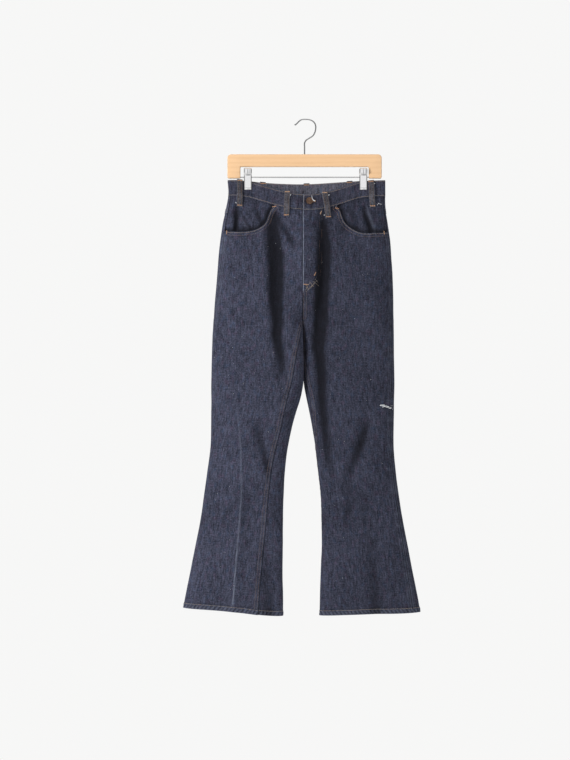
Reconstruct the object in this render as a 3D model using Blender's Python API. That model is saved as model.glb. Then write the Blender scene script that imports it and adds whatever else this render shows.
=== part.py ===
"""Bootcut jeans hung by the waist from the two clips of a wooden trouser hanger.

Metres, +Z up. The origin is the inside top of the hook's crook, where the hanger hangs.
X runs across the garment, and the wearer's right is on -X. The front faces -Y.
"""

import math
from typing import NamedTuple

import bmesh
import bpy
import numpy as np

MM = 0.001  # the tables below are in millimetres

# Cloth
CLOTH = 1.5  # thickness of one layer of denim
SEAM_GAP = 0.3  # each piece stops this far from its seam line
LAYER_GAP = 0.4  # clear space between two layers
HEM_THICK = 3.0  # turned-up hem
HEM_TALL = 12.0
BAND_THICK = 3.0
BAND_PROUD = 0.7  # the band stands this far outside the panels
BAND_TOP = -144.5
BAND_SEAM = -183.0
CROTCH = -480.0
RISE_TURN = 85.0  # height over which the rise turns under to the crotch
LOWEST = -1200.0

# Hanger
BAR_HALF = 185.0
BAR_TOP = -82.6
BAR_UNDER = -112.8
BAR_END_FOOT = -140.6
BAR_END_WIDE = 31.0
BAR_DEEP = 13.0
BAR_CORNER = 9.0
BAR_FOOT_CORNER = 4.0
BAR_EDGE = 2.2
ROD_LEVEL = -137.5
ROD_RADIUS = 1.5
WIRE_RADIUS = 1.5
CLIP_X = (-136.2, 141.0)
CLIP_WIDE = 18.0
CLIP_PLATE = 1.2
GRIP = 2.9  # half depth of the cloth between the jaws, less what the band stands proud
BAND_GRIP_FOOT = -172.0  # the jaws hold the cloth down to this level
BAND_GRIP_FREE = -215.0
GRIP_MARGIN = 2.0  # the cloth lies flat this far beyond a jaw
GRIP_EASE = 16.0  # and opens out over this run


class Section(NamedTuple):
    """One level of the garment: the outline seen from the front, and its depths."""

    level: float
    right_side: float  # X of the outer fold, wearer's right
    left_side: float
    right_inner: float  # X of the centre line, or of the leg's inner fold
    left_inner: float
    front: float  # how far the front stands forward of the side folds
    back: float
    belly: float  # what the front adds between the clips
    seat: float  # what the back adds between the clips
    rounding: float  # run over which a side fold rounds off
    lap: float  # how far the right leg's inner fold lies in front of the left's


SECTIONS = (
    #       level   right   left   r_in   l_in  front back belly seat round lap
    Section(-140.0, -184.1, 193.2, -4.0, -3.6, 5.0, 5.0, 20.0, 18.0, 5.5, 0.0),
    Section(-183.0, -182.6, 193.0, -4.0, -3.6, 6.0, 6.0, 21.0, 18.0, 7.5, 0.0),
    Section(-212.0, -188.4, 193.9, -4.0, -3.6, 12.0, 11.0, 17.0, 15.0, 20.0, 0.0),
    Section(-250.0, -196.8, 199.4, -4.0, -3.6, 21.0, 19.0, 10.0, 10.0, 45.0, 0.0),
    Section(-288.0, -202.0, 204.5, -4.0, -3.6, 29.0, 27.0, 4.0, 5.0, 62.0, 0.0),
    Section(-327.0, -206.3, 207.8, -4.0, -3.6, 34.0, 33.0, 1.0, 2.0, 70.0, 0.0),
    Section(-365.0, -209.6, 211.2, -4.0, -3.6, 37.0, 36.0, 0.0, 0.0, 72.0, 0.0),
    Section(-404.0, -213.1, 213.0, -4.0, -3.6, 38.0, 35.0, 0.0, 0.0, 72.0, 0.0),
    Section(-442.0, -216.5, 213.8, -4.0, -3.6, 37.0, 32.0, 0.0, 0.0, 70.0, 0.0),
    Section(-480.0, -218.9, 214.3, -4.0, -3.6, 35.0, 29.0, 0.0, 0.0, 68.0, 0.0),
    Section(-519.0, -221.3, 214.8, -3.2, -4.0, 34.0, 27.0, 0.0, 0.0, 66.0, 6.0),
    Section(-557.0, -222.6, 215.1, -2.6, -4.0, 33.0, 26.0, 0.0, 0.0, 64.0, 9.0),
    Section(-596.0, -223.2, 215.4, -2.6, -3.6, 32.0, 26.0, 0.0, 0.0, 62.0, 9.0),
    Section(-634.0, -223.4, 215.0, -3.2, -2.0, 31.0, 26.0, 0.0, 0.0, 60.0, 8.0),
    Section(-672.0, -223.4, 214.4, -10.3, 4.3, 30.0, 26.0, 0.0, 0.0, 60.0, 5.0),
    Section(-730.0, -224.6, 214.3, -28.3, 16.8, 30.0, 26.0, 0.0, 0.0, 60.0, 1.0),
    Section(-788.0, -227.3, 215.2, -40.6, 26.4, 31.0, 27.0, 0.0, 0.0, 60.0, 0.0),
    Section(-845.0, -234.0, 219.3, -47.3, 33.4, 30.0, 27.0, 0.0, 0.0, 60.0, 0.0),
    Section(-903.0, -241.7, 226.1, -50.6, 38.8, 28.0, 26.0, 0.0, 0.0, 64.0, 0.0),
    Section(-960.0, -250.1, 235.7, -52.0, 41.1, 27.0, 26.0, 0.0, 0.0, 68.0, 0.0),
    Section(-1018.0, -261.6, 247.0, -52.3, 41.0, 27.0, 26.0, 0.0, 0.0, 72.0, 0.0),
    Section(-1076.0, -273.2, 258.2, -52.3, 38.6, 27.0, 26.0, 0.0, 0.0, 75.0, 0.0),
    Section(-1133.0, -284.0, 269.0, -52.3, 36.4, 28.0, 27.0, 0.0, 0.0, 78.0, 0.0),
    Section(-1200.0, -296.0, 280.6, -52.3, 35.2, 28.5, 27.5, 0.0, 0.0, 80.0, 0.0),
)


class Sag(NamedTuple):
    """How far the waist drops between the clips at one place across it."""

    across: float
    front: float
    back: float


SAGS = (
    Sag(-200.0, 0.0, 0.0),
    Sag(-150.0, -1.0, -1.0),
    Sag(-126.0, -5.5, -3.0),
    Sag(-102.0, -13.0, -5.5),
    Sag(-83.0, -18.5, -6.6),
    Sag(-49.0, -28.0, -7.8),
    Sag(-4.0, -35.0, -8.2),
    Sag(20.0, -35.0, -7.6),
    Sag(42.0, -31.8, -6.6),
    Sag(61.0, -27.2, -5.6),
    Sag(85.0, -20.0, -4.4),
    Sag(109.0, -12.0, -3.2),
    Sag(131.0, -5.0, -2.0),
    Sag(157.0, -1.8, -1.0),
    Sag(205.0, 0.0, 0.0),
)
SAG_FADES = -330.0  # the cloth hangs level again from here down


class Twist(NamedTuple):
    """Where the leg seams lie: inset from a fold on the front face, or less than 0 behind it."""

    level: float
    right_inseam: float
    left_inseam: float
    right_outseam: float
    left_outseam: float


TWISTS = (
    Twist(-140.0, 0.0, 0.0, 4.0, 2.0),
    Twist(-270.0, 0.0, 0.0, 8.0, 3.0),
    Twist(-480.0, 0.0, 0.0, 4.0, 6.0),
    Twist(-524.0, 10.0, 0.5, 2.0, 7.0),
    Twist(-577.0, 21.0, 1.0, -1.0, 8.0),
    Twist(-615.0, 27.0, 6.0, -4.0, 8.0),
    Twist(-668.0, 33.0, 10.0, -8.0, 8.0),
    Twist(-742.0, 27.0, 3.0, -13.0, 8.0),
    Twist(-788.0, 29.5, 0.0, -17.0, 8.0),
    Twist(-840.0, 33.5, -2.0, -21.0, 8.0),
    Twist(-898.0, 36.5, -4.0, -26.0, 9.0),
    Twist(-975.0, 42.0, -6.0, -33.0, 10.0),
    Twist(-1052.0, 49.5, -8.0, -39.0, 12.0),
    Twist(-1116.0, 55.0, -9.0, -44.0, 15.0),
    Twist(-1200.0, 61.0, -10.0, -49.0, 19.0),
)


class Fold(NamedTuple):
    """A long crease: where it runs on one face, as (across, height, depth) points."""

    face: str
    width: float
    path: tuple


FOLDS = (
    Fold(
        "front",
        14.0,
        (
            (-80.0, -212.0, 0.0),
            (-76.8, -236.0, 8.0),
            (-70.8, -281.0, 13.0),
            (-64.8, -324.0, 15.0),
            (-64.8, -372.0, 15.0),
            (-66.0, -423.0, 14.0),
            (-63.6, -480.0, 13.0),
            (-66.0, -519.0, 12.0),
            (-57.0, -567.0, 9.0),
            (-54.0, -605.0, 6.0),
            (-60.0, -650.0, 0.0),
        ),
    ),
    Fold(
        "front",
        14.0,
        (
            (42.0, -212.0, 0.0),
            (45.0, -245.0, 8.0),
            (49.0, -312.0, 14.0),
            (48.5, -353.0, 15.0),
            (43.5, -401.0, 15.0),
            (43.5, -461.0, 14.0),
            (39.6, -519.0, 13.0),
            (35.0, -548.0, 12.0),
            (40.5, -605.0, 11.0),
            (41.5, -672.0, 9.0),
            (49.0, -742.0, 8.0),
            (56.4, -814.0, 6.0),
            (74.0, -870.0, 0.0),
        ),
    ),
    Fold("front", 9.0, ((-66.0, -228.0, 4.0), (-31.0, -292.0, 6.0), (-16.0, -319.0, 0.0))),
    Fold("front", 11.0, ((91.0, -236.0, 0.0), (94.0, -262.0, 5.0), (98.0, -300.0, 0.0))),
    Fold("front", 11.0, ((-118.0, -715.0, 0.0), (-112.0, -745.0, 5.0), (-88.0, -832.0, 6.0),
                         (-72.0, -868.0, 0.0))),
    Fold("front", 11.0, ((142.0, -700.0, 0.0), (135.0, -760.0, 6.0), (128.0, -796.0, 8.0),
                         (109.0, -838.0, 6.0), (97.0, -880.0, 3.0), (105.0, -936.0, 4.0),
                         (105.0, -1010.0, 0.0))),
    Fold("front", 16.0, ((-163.0, -694.0, 0.0), (-152.0, -840.0, -3.0), (-158.0, -989.0, -3.5),
                         (-172.0, -1190.0, -4.0))),
    Fold("front", 18.0, ((-96.0, -980.0, 0.0), (-92.0, -1080.0, 4.0), (-84.0, -1200.0, 6.0))),
    Fold("front", 20.0, ((150.0, -940.0, 0.0), (164.0, -1060.0, 4.0), (172.0, -1200.0, 6.0))),
    Fold("back", 15.0, ((-74.0, -466.0, 0.0), (-72.0, -512.0, 7.0), (-66.0, -570.0, 9.0),
                        (-74.0, -640.0, 7.0), (-90.0, -720.0, 0.0))),
    Fold("back", 15.0, ((70.0, -462.0, 0.0), (66.0, -510.0, 7.0), (64.0, -570.0, 9.0),
                        (78.0, -660.0, 7.0), (92.0, -740.0, 0.0))),
    Fold("back", 11.0, ((-180.0, -700.0, 0.0), (-150.0, -756.0, 5.0), (-106.0, -800.0, 0.0))),
    Fold("back", 11.0, ((172.0, -716.0, 0.0), (140.0, -772.0, 6.0), (92.0, -806.0, 0.0))),
    Fold("back", 20.0, ((-140.0, -900.0, 0.0), (-152.0, -1050.0, 5.0), (-160.0, -1200.0, 7.0))),
    Fold("back", 20.0, ((130.0, -900.0, 0.0), (146.0, -1050.0, 5.0), (150.0, -1200.0, 7.0))),
)

# Lower edge of the hems on the front face, as (across, height) points
HEM_LINE = (
    (-296.0, -1170.0),
    (-262.0, -1172.0),
    (-226.0, -1174.0),
    (-183.0, -1177.5),
    (-146.0, -1181.5),
    (-116.0, -1185.5),
    (-90.0, -1188.5),
    (-52.0, -1189.5),
    (36.0, -1188.5),
    (93.0, -1186.0),
    (170.0, -1183.5),
    (254.0, -1181.5),
    (281.0, -1180.0),
)

# Scooped edges of the front pockets: (across, height), from the waist seam to the side
RIGHT_SCOOP = ((-73.0, -208.0), (-79.0, -214.5), (-85.0, -227.0), (-91.0, -244.0), (-103.0, -257.0),
               (-122.0, -266.0), (-143.0, -269.7), (-165.0, -269.7), (-210.0, -266.0))
LEFT_SCOOP = ((78.0, -212.5), (83.5, -216.5), (89.0, -233.0), (99.0, -250.5), (113.0, -262.5),
              (129.0, -270.5), (147.0, -273.3), (169.0, -272.3), (215.0, -270.0))
FACING_GAP = 1.0  # clear space between the front and its pocket facing
FACING_DIP = 1.2  # how much deeper its inner end lies
SCOOP_HIDES = 16.0  # the facing runs this far behind the scooped edge
YOKE_SIDE = -224.0
YOKE_CENTRE = -262.0

# Levels of the rows in a panel below the parts that follow a seam or an edge
PANEL_ROWS = (-300.0, -326.0, -352.0, -378.0, -402.0, -424.0, -442.0, -456.0, -467.0, -474.5,
              -478.8, -481.0, -489.0, -504.0, -524.0, -546.0, -570.0, -596.0, -622.0, -650.0,
              -680.0, -710.0, -740.0, -770.0, -800.0, -832.0, -866.0, -902.0, -942.0, -984.0,
              -1030.0, -1078.0, -1124.0)
FRONT_COLUMNS = 19
BACK_COLUMNS = 14
UPPER_ROWS = 4
COLUMNS_BEFORE_SCOOP = 7
SCOOP_COLUMNS = 6
SCOOP_RUN = 26.0  # the scooped edge drops steeply over this run
COLUMNS_EVEN_OUT = 200.0  # height over which the columns even out below it
YOKE_COLUMNS = 13
YOKE_ROWS = 5
FACING_ROWS = 7
POCKET_STEPS = 9
BAND_COLUMNS = 52  # around each half
BAND_ROWS = 4
LAP_COLUMNS = 5
LOOP_ROWS = 9
LOOP_COLUMNS = 4

# Waistband lap at the centre front
LAP_UNDER = 27.0  # how far the under end runs past the centre line
LAP_STEP = 3.6  # the under end lies this far inside the upper end
LAP_CLEAR = 3.0  # it is still fully inside this far before the centre line
LAP_EASE = 16.0  # and comes out over this run

# Belt loops: face, (across, height) of the top and the foot
LOOP_WIDE = 14.0
LOOP_THICK = 1.8
LOOP_GAP = 0.8
LOOP_RISE = 1.0  # it stands off this much further at the middle
LOOP_STEP = 8.0  # run over which it steps down off the band
LOOPS = (
    ("belt_loop_side_right", "front", (-155.6, -142.6), (-155.8, -209.0)),
    ("belt_loop_front_right", "front", (-40.5, -171.0), (-43.5, -232.5)),
    ("belt_loop_front_left", "front", (47.0, -173.0), (57.5, -236.0)),
    ("belt_loop_side_left", "front", (159.6, -144.6), (163.2, -210.5)),
    ("belt_loop_back_right", "back", (-100.0, -148.0), (-100.5, -213.0)),
    ("belt_loop_back_centre", "back", (5.0, -150.0), (2.0, -217.0)),
    ("belt_loop_back_left", "back", (108.0, -145.5), (109.0, -211.0)),
)

# Back patch pockets, measured along the panel from the centre back
POCKET_FROM_CENTRE = 34.0
POCKET_WIDE = 146.0
POCKET_FOOT_WIDE = 126.0
POCKET_TOP = -288.0
POCKET_TALL = 138.0
POCKET_POINT = 18.0
POCKET_GAP = 0.7

# Waist button
BUTTON_AT = (11.3, -195.6)
BUTTON_RADIUS = 8.3
BUTTON_PROFILE = ((0.0, 3.2), (3.2, 3.1), (5.4, 2.5), (6.3, 2.9), (7.4, 3.1), (8.3, 2.3),
                  (8.3, 1.3), (6.4, 0.4), (0.0, 0.4))

# Wire hook in the X-Z plane
HOOK_PATH = ((0.0, -82.2), (0.0, -66.0), (0.3, -54.5), (3.0, -49.6), (11.5, -43.6), (19.6, -38.2),
             (24.2, -31.0), (26.4, -22.5), (26.8, -15.5), (24.8, -8.6), (19.6, -2.8), (12.4, 0.4),
             (5.0, 1.5), (-1.0, 1.5), (-7.5, 0.6), (-13.4, -3.2), (-18.0, -8.0), (-23.0, -12.4))

# A clip jaw: (depth, height) points of its inner face, and what lies outside is mirrored
JAW_PATH = ((9.0, -117.0), (11.4, -118.4), (12.6, -121.6), (11.6, -125.4), (8.2, -130.4),
            (5.6, -134.2), (4.85, -137.2), (4.9, -141.5), (5.0, -147.0), (4.7, -154.0),
            (4.05, -161.0), (4.0, -167.6))
JAW_STEPS = 17
JAW_COLUMNS = 3
SPRING_OUTER = 4.4
SPRING_INNER = 1.9
SPRING_LONG = 13.0
ROUND_SIDES = 20
WIRE_SIDES = 8
HOOK_STEPS = 34

# Finishes
DENIM = (0.045, 0.055, 0.09)
DARKER_DENIM = (0.04, 0.05, 0.085)
PALER_DENIM = (0.05, 0.06, 0.1)
CLOTH_ROUGHNESS = 0.9
COPPER = (0.3, 0.12, 0.06)
BEECH = (0.75, 0.5, 0.28)
STEEL = (0.6, 0.6, 0.6)
CHROME = (0.7, 0.7, 0.72)

# How the sections are worked out
SECTION_STEPS = 300  # points worked out along each face of a half section
BANK_SAMPLES = 241  # evenly spaced points kept around it
LAP_REACH = 60.0  # an inner fold's forward lean dies away over this run
RISE_SHARE = 0.22  # share of a face that turns under with the rise
FOLD_CLEAR = (4.0, 26.0)  # creases start this far from a side fold, and are whole this much further on
INNER_CLEAR = (3.0, 22.0)  # the same from a leg's inner fold
CLEAR_BLEND = 60.0
NORMAL_STEP = 1.5
RIGHT = -1
LEFT = 1


def smooth(at, keys, values):
    """Smooth curve through values given at rising keys, held level past both ends."""
    keys = np.asarray(keys, float)
    values = np.asarray(values, float)
    at = np.clip(np.asarray(at, float), keys[0], keys[-1])
    slopes = np.gradient(values, keys)
    place = np.clip(np.searchsorted(keys, at) - 1, 0, len(keys) - 2)
    step = keys[place + 1] - keys[place]
    t = (at - keys[place]) / step
    rise = values[place + 1] - values[place]
    low = slopes[place] * step - rise
    high = rise - slopes[place + 1] * step
    return values[place] + t * rise + t * (1 - t) * ((1 - t) * low + t * high)


def eased(t):
    """0 to 1 with level ends."""
    t = np.clip(t, 0.0, 1.0)
    return t * t * (3 - 2 * t)


def rounded(distance, run):
    """How far a face has risen from the fold at this distance from it, from 0 to 1."""
    t = 1 - np.clip(distance / run, 0.0, 1.0)
    return np.sqrt(np.maximum(0.0, 1 - t * t))


def column(rows, name, at):
    """One named column of a table of falling levels, at any level."""
    keys = [-row.level for row in rows]
    return smooth(-np.asarray(at, float), keys, [getattr(row, name) for row in rows])


def side_column(side, rows, name, at):
    """A column that the table holds once for each side."""
    return column(rows, ("right_" if side == RIGHT else "left_") + name, at)


def clip_hold(x, level):
    """1 where a clip holds the cloth flat, falling to 0 around it."""
    nearest = np.minimum(abs(x - CLIP_X[0]), abs(x - CLIP_X[1]))
    across = 1 - eased((nearest - CLIP_WIDE / 2 - GRIP_MARGIN) / GRIP_EASE)
    down = 1 - eased((BAND_GRIP_FOOT - level) / (BAND_GRIP_FOOT - BAND_GRIP_FREE))
    return across * down


def body_depth(x, level, front):
    """Depth of the waist and hips at one place across them."""
    depth = column(SECTIONS, "front" if front else "back", level)
    swell = column(SECTIONS, "belly" if front else "seat", level)
    middle = (CLIP_X[0] + CLIP_X[1]) / 2
    reach = (CLIP_X[1] - CLIP_X[0]) / 2 - CLIP_WIDE / 2
    bump = 0.5 + 0.5 * np.cos(math.pi * np.clip((x - middle) / reach, -1, 1))
    hold = clip_hold(x, level)
    return (depth + swell * bump) * (1 - hold) + GRIP * hold


def half_section(side, level):
    """Points around one half of the garment at a level, from the front inner end to the back's."""
    outer = side_column(side, SECTIONS, "side", level)
    inner = side_column(side, SECTIONS, "inner", level)
    run = column(SECTIONS, "rounding", level)
    lap = column(SECTIONS, "lap", level) * side
    t = np.linspace(0.0, 1.0, SECTION_STEPS)
    turn = rise_turn(level, t)

    body_x = inner + (outer - inner) * np.sin(t * math.pi / 2)
    leg_x = inner + (outer - inner) * (1 - np.cos(t * math.pi)) / 2
    from_inner = abs(leg_x - inner)
    leg_rise = rounded(abs(outer - leg_x), run) * rounded(from_inner, run)
    middle = lap * np.exp(-((from_inner / LAP_REACH) ** 2))
    faces = []
    for front in (True, False):
        sign = -1 if front else 1
        body_y = sign * body_depth(body_x, level, front) * rounded(abs(outer - body_x), run)
        depth = column(SECTIONS, "front" if front else "back", level)
        leg_y = middle + sign * depth * leg_rise
        x = body_x + (leg_x - body_x) * turn
        y = body_y + (leg_y - body_y) * turn
        faces.append(np.stack([x, y], axis=-1))
    return np.concatenate([faces[0], faces[1][-2::-1]])


def rise_turn(level, t):
    """0 in the body and 1 in a leg: quick at the rise, t = 0, and slow out to the side, t = 1."""
    low = np.clip((CROTCH + RISE_TURN - level) / RISE_TURN, 0.0, 1.0)
    at_rise = 1 - math.sqrt(1 - low * low)
    at_side = eased((CROTCH + RISE_TURN - level) / (2 * RISE_TURN))
    return at_rise + (at_side - at_rise) * eased(t / RISE_SHARE)


class HalfBank:
    """The sections of one half at every millimetre of height, evenly spaced around."""

    def __init__(self, side):
        self.side = side
        self.levels = np.arange(BAND_TOP + 4.5, LOWEST - 0.5, -1.0)
        self.x = np.empty((len(self.levels), BANK_SAMPLES))
        self.y = np.empty_like(self.x)
        self.length = np.empty(len(self.levels))
        self.fold = np.empty_like(self.length)
        self.inseam = np.empty_like(self.length)
        self.outseam = np.empty_like(self.length)
        for i, level in enumerate(self.levels):
            self._add(i, level)

    def _add(self, i, level):
        points = half_section(self.side, level)
        steps = np.linalg.norm(np.diff(points, axis=0), axis=1)
        arc = np.concatenate([[0.0], np.cumsum(steps)])
        even = np.linspace(0.0, arc[-1], BANK_SAMPLES)
        self.x[i] = np.interp(even, arc, points[:, 0])
        self.y[i] = np.interp(even, arc, points[:, 1])
        self.length[i] = arc[-1]
        middle = len(points) // 2
        self.fold[i] = arc[middle]
        inset = side_column(self.side, TWISTS, "inseam", level)
        from_inner = abs(points[:, 0] - points[0, 0])
        self.inseam[i] = self._along(inset, from_inner, arc, 0, middle)
        inset = side_column(self.side, TWISTS, "outseam", level)
        from_outer = abs(points[:, 0] - points[middle, 0])
        self.outseam[i] = arc[middle] - self._along(inset, from_outer, arc, middle, 0)

    @staticmethod
    def _along(inset, from_fold, arc, start, end):
        """Run of the face, from a fold, over which the outline moves in by the inset."""
        step = 1 if end > start else -1
        stretch = slice(start, end if end else None, step)
        run = abs(arc[stretch] - arc[start])
        return math.copysign(np.interp(abs(inset), from_fold[stretch], run), inset)

    def _look(self, table, level):
        return np.interp(-level, -self.levels, table)

    def length_at(self, level):
        return self._look(self.length, level)

    def fold_at(self, level):
        return self._look(self.fold, level)

    def inseam_at(self, level):
        return self._look(self.inseam, level)

    def outseam_at(self, level):
        return self._look(self.outseam, level)

    def raw(self, level, arc):
        """(x, y) on the plain section, and whether it is on the front face."""
        length = self.length_at(level)
        part = arc / length
        part = np.where(level <= CROTCH, np.mod(part, 1.0), np.clip(part, 0.0, 1.0))
        row = np.clip(self.levels[0] - level, 0, len(self.levels) - 1.000001)
        top = row.astype(int)
        down = row - top
        place = np.clip(part * (BANK_SAMPLES - 1), 0, BANK_SAMPLES - 1.000001)
        start = place.astype(int)
        on = place - start
        mixed = []
        for table in (self.x, self.y):
            upper = table[top, start] * (1 - on) + table[top, start + 1] * on
            lower = table[top + 1, start] * (1 - on) + table[top + 1, start + 1] * on
            mixed.append(upper * (1 - down) + lower * down)
        return mixed[0], mixed[1], part * length < self.fold_at(level)


BANKS = {side: HalfBank(side) for side in (RIGHT, LEFT)}


def sag(x, level, front):
    """Drop of the cloth at a level, as the waist hangs between the clips."""
    across = [row.across for row in SAGS]
    drop = np.where(front, smooth(x, across, [row.front for row in SAGS]),
                    smooth(x, across, [row.back for row in SAGS]))
    return drop * eased((level - SAG_FADES) / (BAND_SEAM - SAG_FADES))


def level_of(x, height, front):
    """The level that hangs at this height."""
    level = np.asarray(height, float)
    for _ in range(12):
        level = height - sag(x, level, front)
    return level


def fold_depth(fold, x, z):
    """How far one crease pushes the cloth in at these places."""
    points = np.asarray(fold.path, float)
    nearest = np.full(np.shape(x), np.inf)
    depth = np.zeros(np.shape(x))
    for start, end in zip(points[:-1], points[1:]):
        run = end[:2] - start[:2]
        t = ((x - start[0]) * run[0] + (z - start[1]) * run[1]) / (run @ run)
        t = np.clip(t, 0.0, 1.0)
        away = np.hypot(x - start[0] - t * run[0], z - start[1] - t * run[1])
        closer = away < nearest
        nearest = np.where(closer, away, nearest)
        depth = np.where(closer, start[2] + t * (end[2] - start[2]), depth)
    return depth * np.exp(-((nearest / fold.width) ** 2))


def surface(side, level, arc):
    """Points on the outer face of the cloth."""
    level, arc = np.broadcast_arrays(np.asarray(level, float), np.asarray(arc, float))
    bank = BANKS[side]
    x, y, front = bank.raw(level, arc)
    z = level + sag(x, level, front)
    outer = side_column(side, SECTIONS, "side", level)
    inner = side_column(side, SECTIONS, "inner", level)
    room = eased((abs(outer - x) - FOLD_CLEAR[0]) / FOLD_CLEAR[1])
    below = eased((CROTCH + CLEAR_BLEND / 2 - level) / CLEAR_BLEND)
    room = room * (1 - below * (1 - eased((abs(inner - x) - INNER_CLEAR[0]) / INNER_CLEAR[1])))
    for fold in FOLDS:
        sign = 1 if fold.face == "front" else -1
        on_face = front if fold.face == "front" else ~front
        y = y + np.where(on_face, sign * room * fold_depth(fold, x, z), 0.0)
    return np.stack([x, y, z], axis=-1)


def offset(side, level, arc, out):
    """Points moved out of the outer face, or into the garment where out is below 0."""
    level, arc, out = np.broadcast_arrays(
        np.asarray(level, float), np.asarray(arc, float), np.asarray(out, float)
    )
    along = surface(side, level, arc + NORMAL_STEP) - surface(side, level, arc - NORMAL_STEP)
    down = surface(side, level - NORMAL_STEP, arc) - surface(side, level + NORMAL_STEP, arc)
    normal = np.cross(along, down) * -side
    normal /= np.maximum(np.linalg.norm(normal, axis=-1, keepdims=True), 1e-9)
    return surface(side, level, arc) + normal * out[..., None]


def arc_at(side, level, x, front):
    """How far around the half section a place across the garment lies."""
    bank = BANKS[side]
    arcs = np.linspace(0.0, 1.0, 601)
    found = []
    for one_level, one_x in zip(*np.broadcast_arrays(np.atleast_1d(level), np.atleast_1d(x))):
        run = arcs * bank.length_at(one_level)
        fold = bank.fold_at(one_level)
        chosen = run < fold if front else run >= fold
        xs = bank.raw(np.full(601, float(one_level)), run)[0][chosen]
        order = np.argsort(xs)
        found.append(np.interp(one_x, xs[order], run[chosen][order]))
    return np.array(found)


def material(name, colour, roughness, metallic=0.0):
    """A plain surface finish."""
    made = bpy.data.materials.new(name)
    made.use_nodes = True
    shader = made.node_tree.nodes["Principled BSDF"]
    shader.inputs["Base Color"].default_value = (*colour, 1.0)
    shader.inputs["Roughness"].default_value = roughness
    shader.inputs["Metallic"].default_value = metallic
    made.diffuse_color = (*colour, 1.0)
    return made


def mesh_object(name, points, faces, finish):
    """A closed solid from points in millimetres, with its faces turned out."""
    shape = bmesh.new()
    corners = [shape.verts.new([value * MM for value in point]) for point in points]
    for face in faces:
        shape.faces.new([corners[index] for index in face])
    bmesh.ops.recalc_face_normals(shape, faces=shape.faces)
    mesh = bpy.data.meshes.new(name)
    shape.to_mesh(mesh)
    shape.free()
    mesh.materials.append(finish)
    made = bpy.data.objects.new(name, mesh)
    bpy.context.scene.collection.objects.link(made)
    return made


def sheet(name, outer, inner, finish):
    """A wall between two grids of points that match row by row."""
    rows, columns = outer.shape[:2]
    points = [*outer.reshape(-1, 3).tolist(), *inner.reshape(-1, 3).tolist()]
    under = rows * columns
    faces = []
    for i in range(rows - 1):
        for j in range(columns - 1):
            a = i * columns + j
            quad = (a, a + 1, a + columns + 1, a + columns)
            faces.append(quad)
            faces.append(tuple(index + under for index in reversed(quad)))
    rim = [j for j in range(columns)]
    rim += [i * columns + columns - 1 for i in range(1, rows)]
    rim += [(rows - 1) * columns + j for j in range(columns - 2, -1, -1)]
    rim += [i * columns for i in range(rows - 2, 0, -1)]
    for a, b in zip(rim, rim[1:] + rim[:1]):
        faces.append((a, b, b + under, a + under))
    return mesh_object(name, points, faces, finish)


def lathe(name, profile, sides, finish, place):
    """A turned solid: (radius, out) points around an axis, carried by place(x, y, out)."""
    points = []
    rings = []
    for radius, out in profile:
        if radius == 0.0:
            rings.append([len(points)])
            points.append(place(0.0, 0.0, out))
            continue
        ring = []
        for k in range(sides):
            angle = 2 * math.pi * k / sides
            ring.append(len(points))
            points.append(place(radius * math.cos(angle), radius * math.sin(angle), out))
        rings.append(ring)
    faces = []
    for low, high in zip(rings[:-1], rings[1:]):
        for k in range(sides):
            n = (k + 1) % sides
            corners = [low[k % len(low)], low[n % len(low)], high[n % len(high)], high[k % len(high)]]
            faces.append(tuple(dict.fromkeys(corners)))
    return mesh_object(name, points, faces, finish)


def tube(name, path, radius, sides, finish):
    """A round wire along points."""
    path = np.asarray(path, float)
    directions = np.gradient(path, axis=0)
    directions /= np.linalg.norm(directions, axis=1, keepdims=True)
    depth = np.array([0.0, 1.0, 0.0])
    points = []
    for centre, direction in zip(path, directions):
        across = np.cross(direction, depth)
        across /= np.linalg.norm(across)
        lift = np.cross(across, direction)
        for k in range(sides):
            angle = 2 * math.pi * k / sides
            points.append(centre + radius * (math.cos(angle) * across + math.sin(angle) * lift))
    faces = []
    for i in range(len(path) - 1):
        for k in range(sides):
            n = (k + 1) % sides
            faces.append((i * sides + k, i * sides + n, (i + 1) * sides + n, (i + 1) * sides + k))
    last = (len(path) - 1) * sides
    faces.append(tuple(range(sides)))
    faces.append(tuple(range(last, last + sides)))
    return mesh_object(name, [point.tolist() for point in points], faces, finish)


def spaced(start, end, count):
    """Even steps from start to end, where each may be an array."""
    t = np.linspace(0.0, 1.0, count)
    return np.asarray(start)[..., None] * (1 - t) + np.asarray(end)[..., None] * t


def panel_rows(top, foot):
    """Levels down a panel whose top edge and foot differ from column to column."""
    upper = spaced(top, np.full_like(top, PANEL_ROWS[0]), UPPER_ROWS + 1).T[:-1]
    middle = np.repeat(np.array(PANEL_ROWS)[:, None], len(top), axis=1)
    above = foot + HEM_TALL
    lower = np.stack([above, above - 0.4, foot])
    return np.concatenate([upper, middle, lower])


def panel_walls(levels):
    """How far inside the outer face each row's inner face lies: the hem is turned up."""
    walls = np.full(levels.shape, CLOTH)
    walls[-2:] = HEM_THICK
    return walls


def hem_level(side, low, high, count):
    """Level of the lower edge of each column of a panel."""
    level = np.full(count, HEM_LINE[0][1])
    bank = BANKS[side]
    shares = np.linspace(0.0, 1.0, count)
    arcs = low(level) * (1 - shares) + high(level) * shares
    x = bank.raw(level, arcs)[0]
    across, height = zip(*HEM_LINE)
    return smooth(x, across, height)


def panel_arcs(low, high, levels, shares):
    """Place around the section of each point of a panel."""
    start = low(levels) + SEAM_GAP
    end = high(levels) - SEAM_GAP
    return start * (1 - shares) + end * shares


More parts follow.
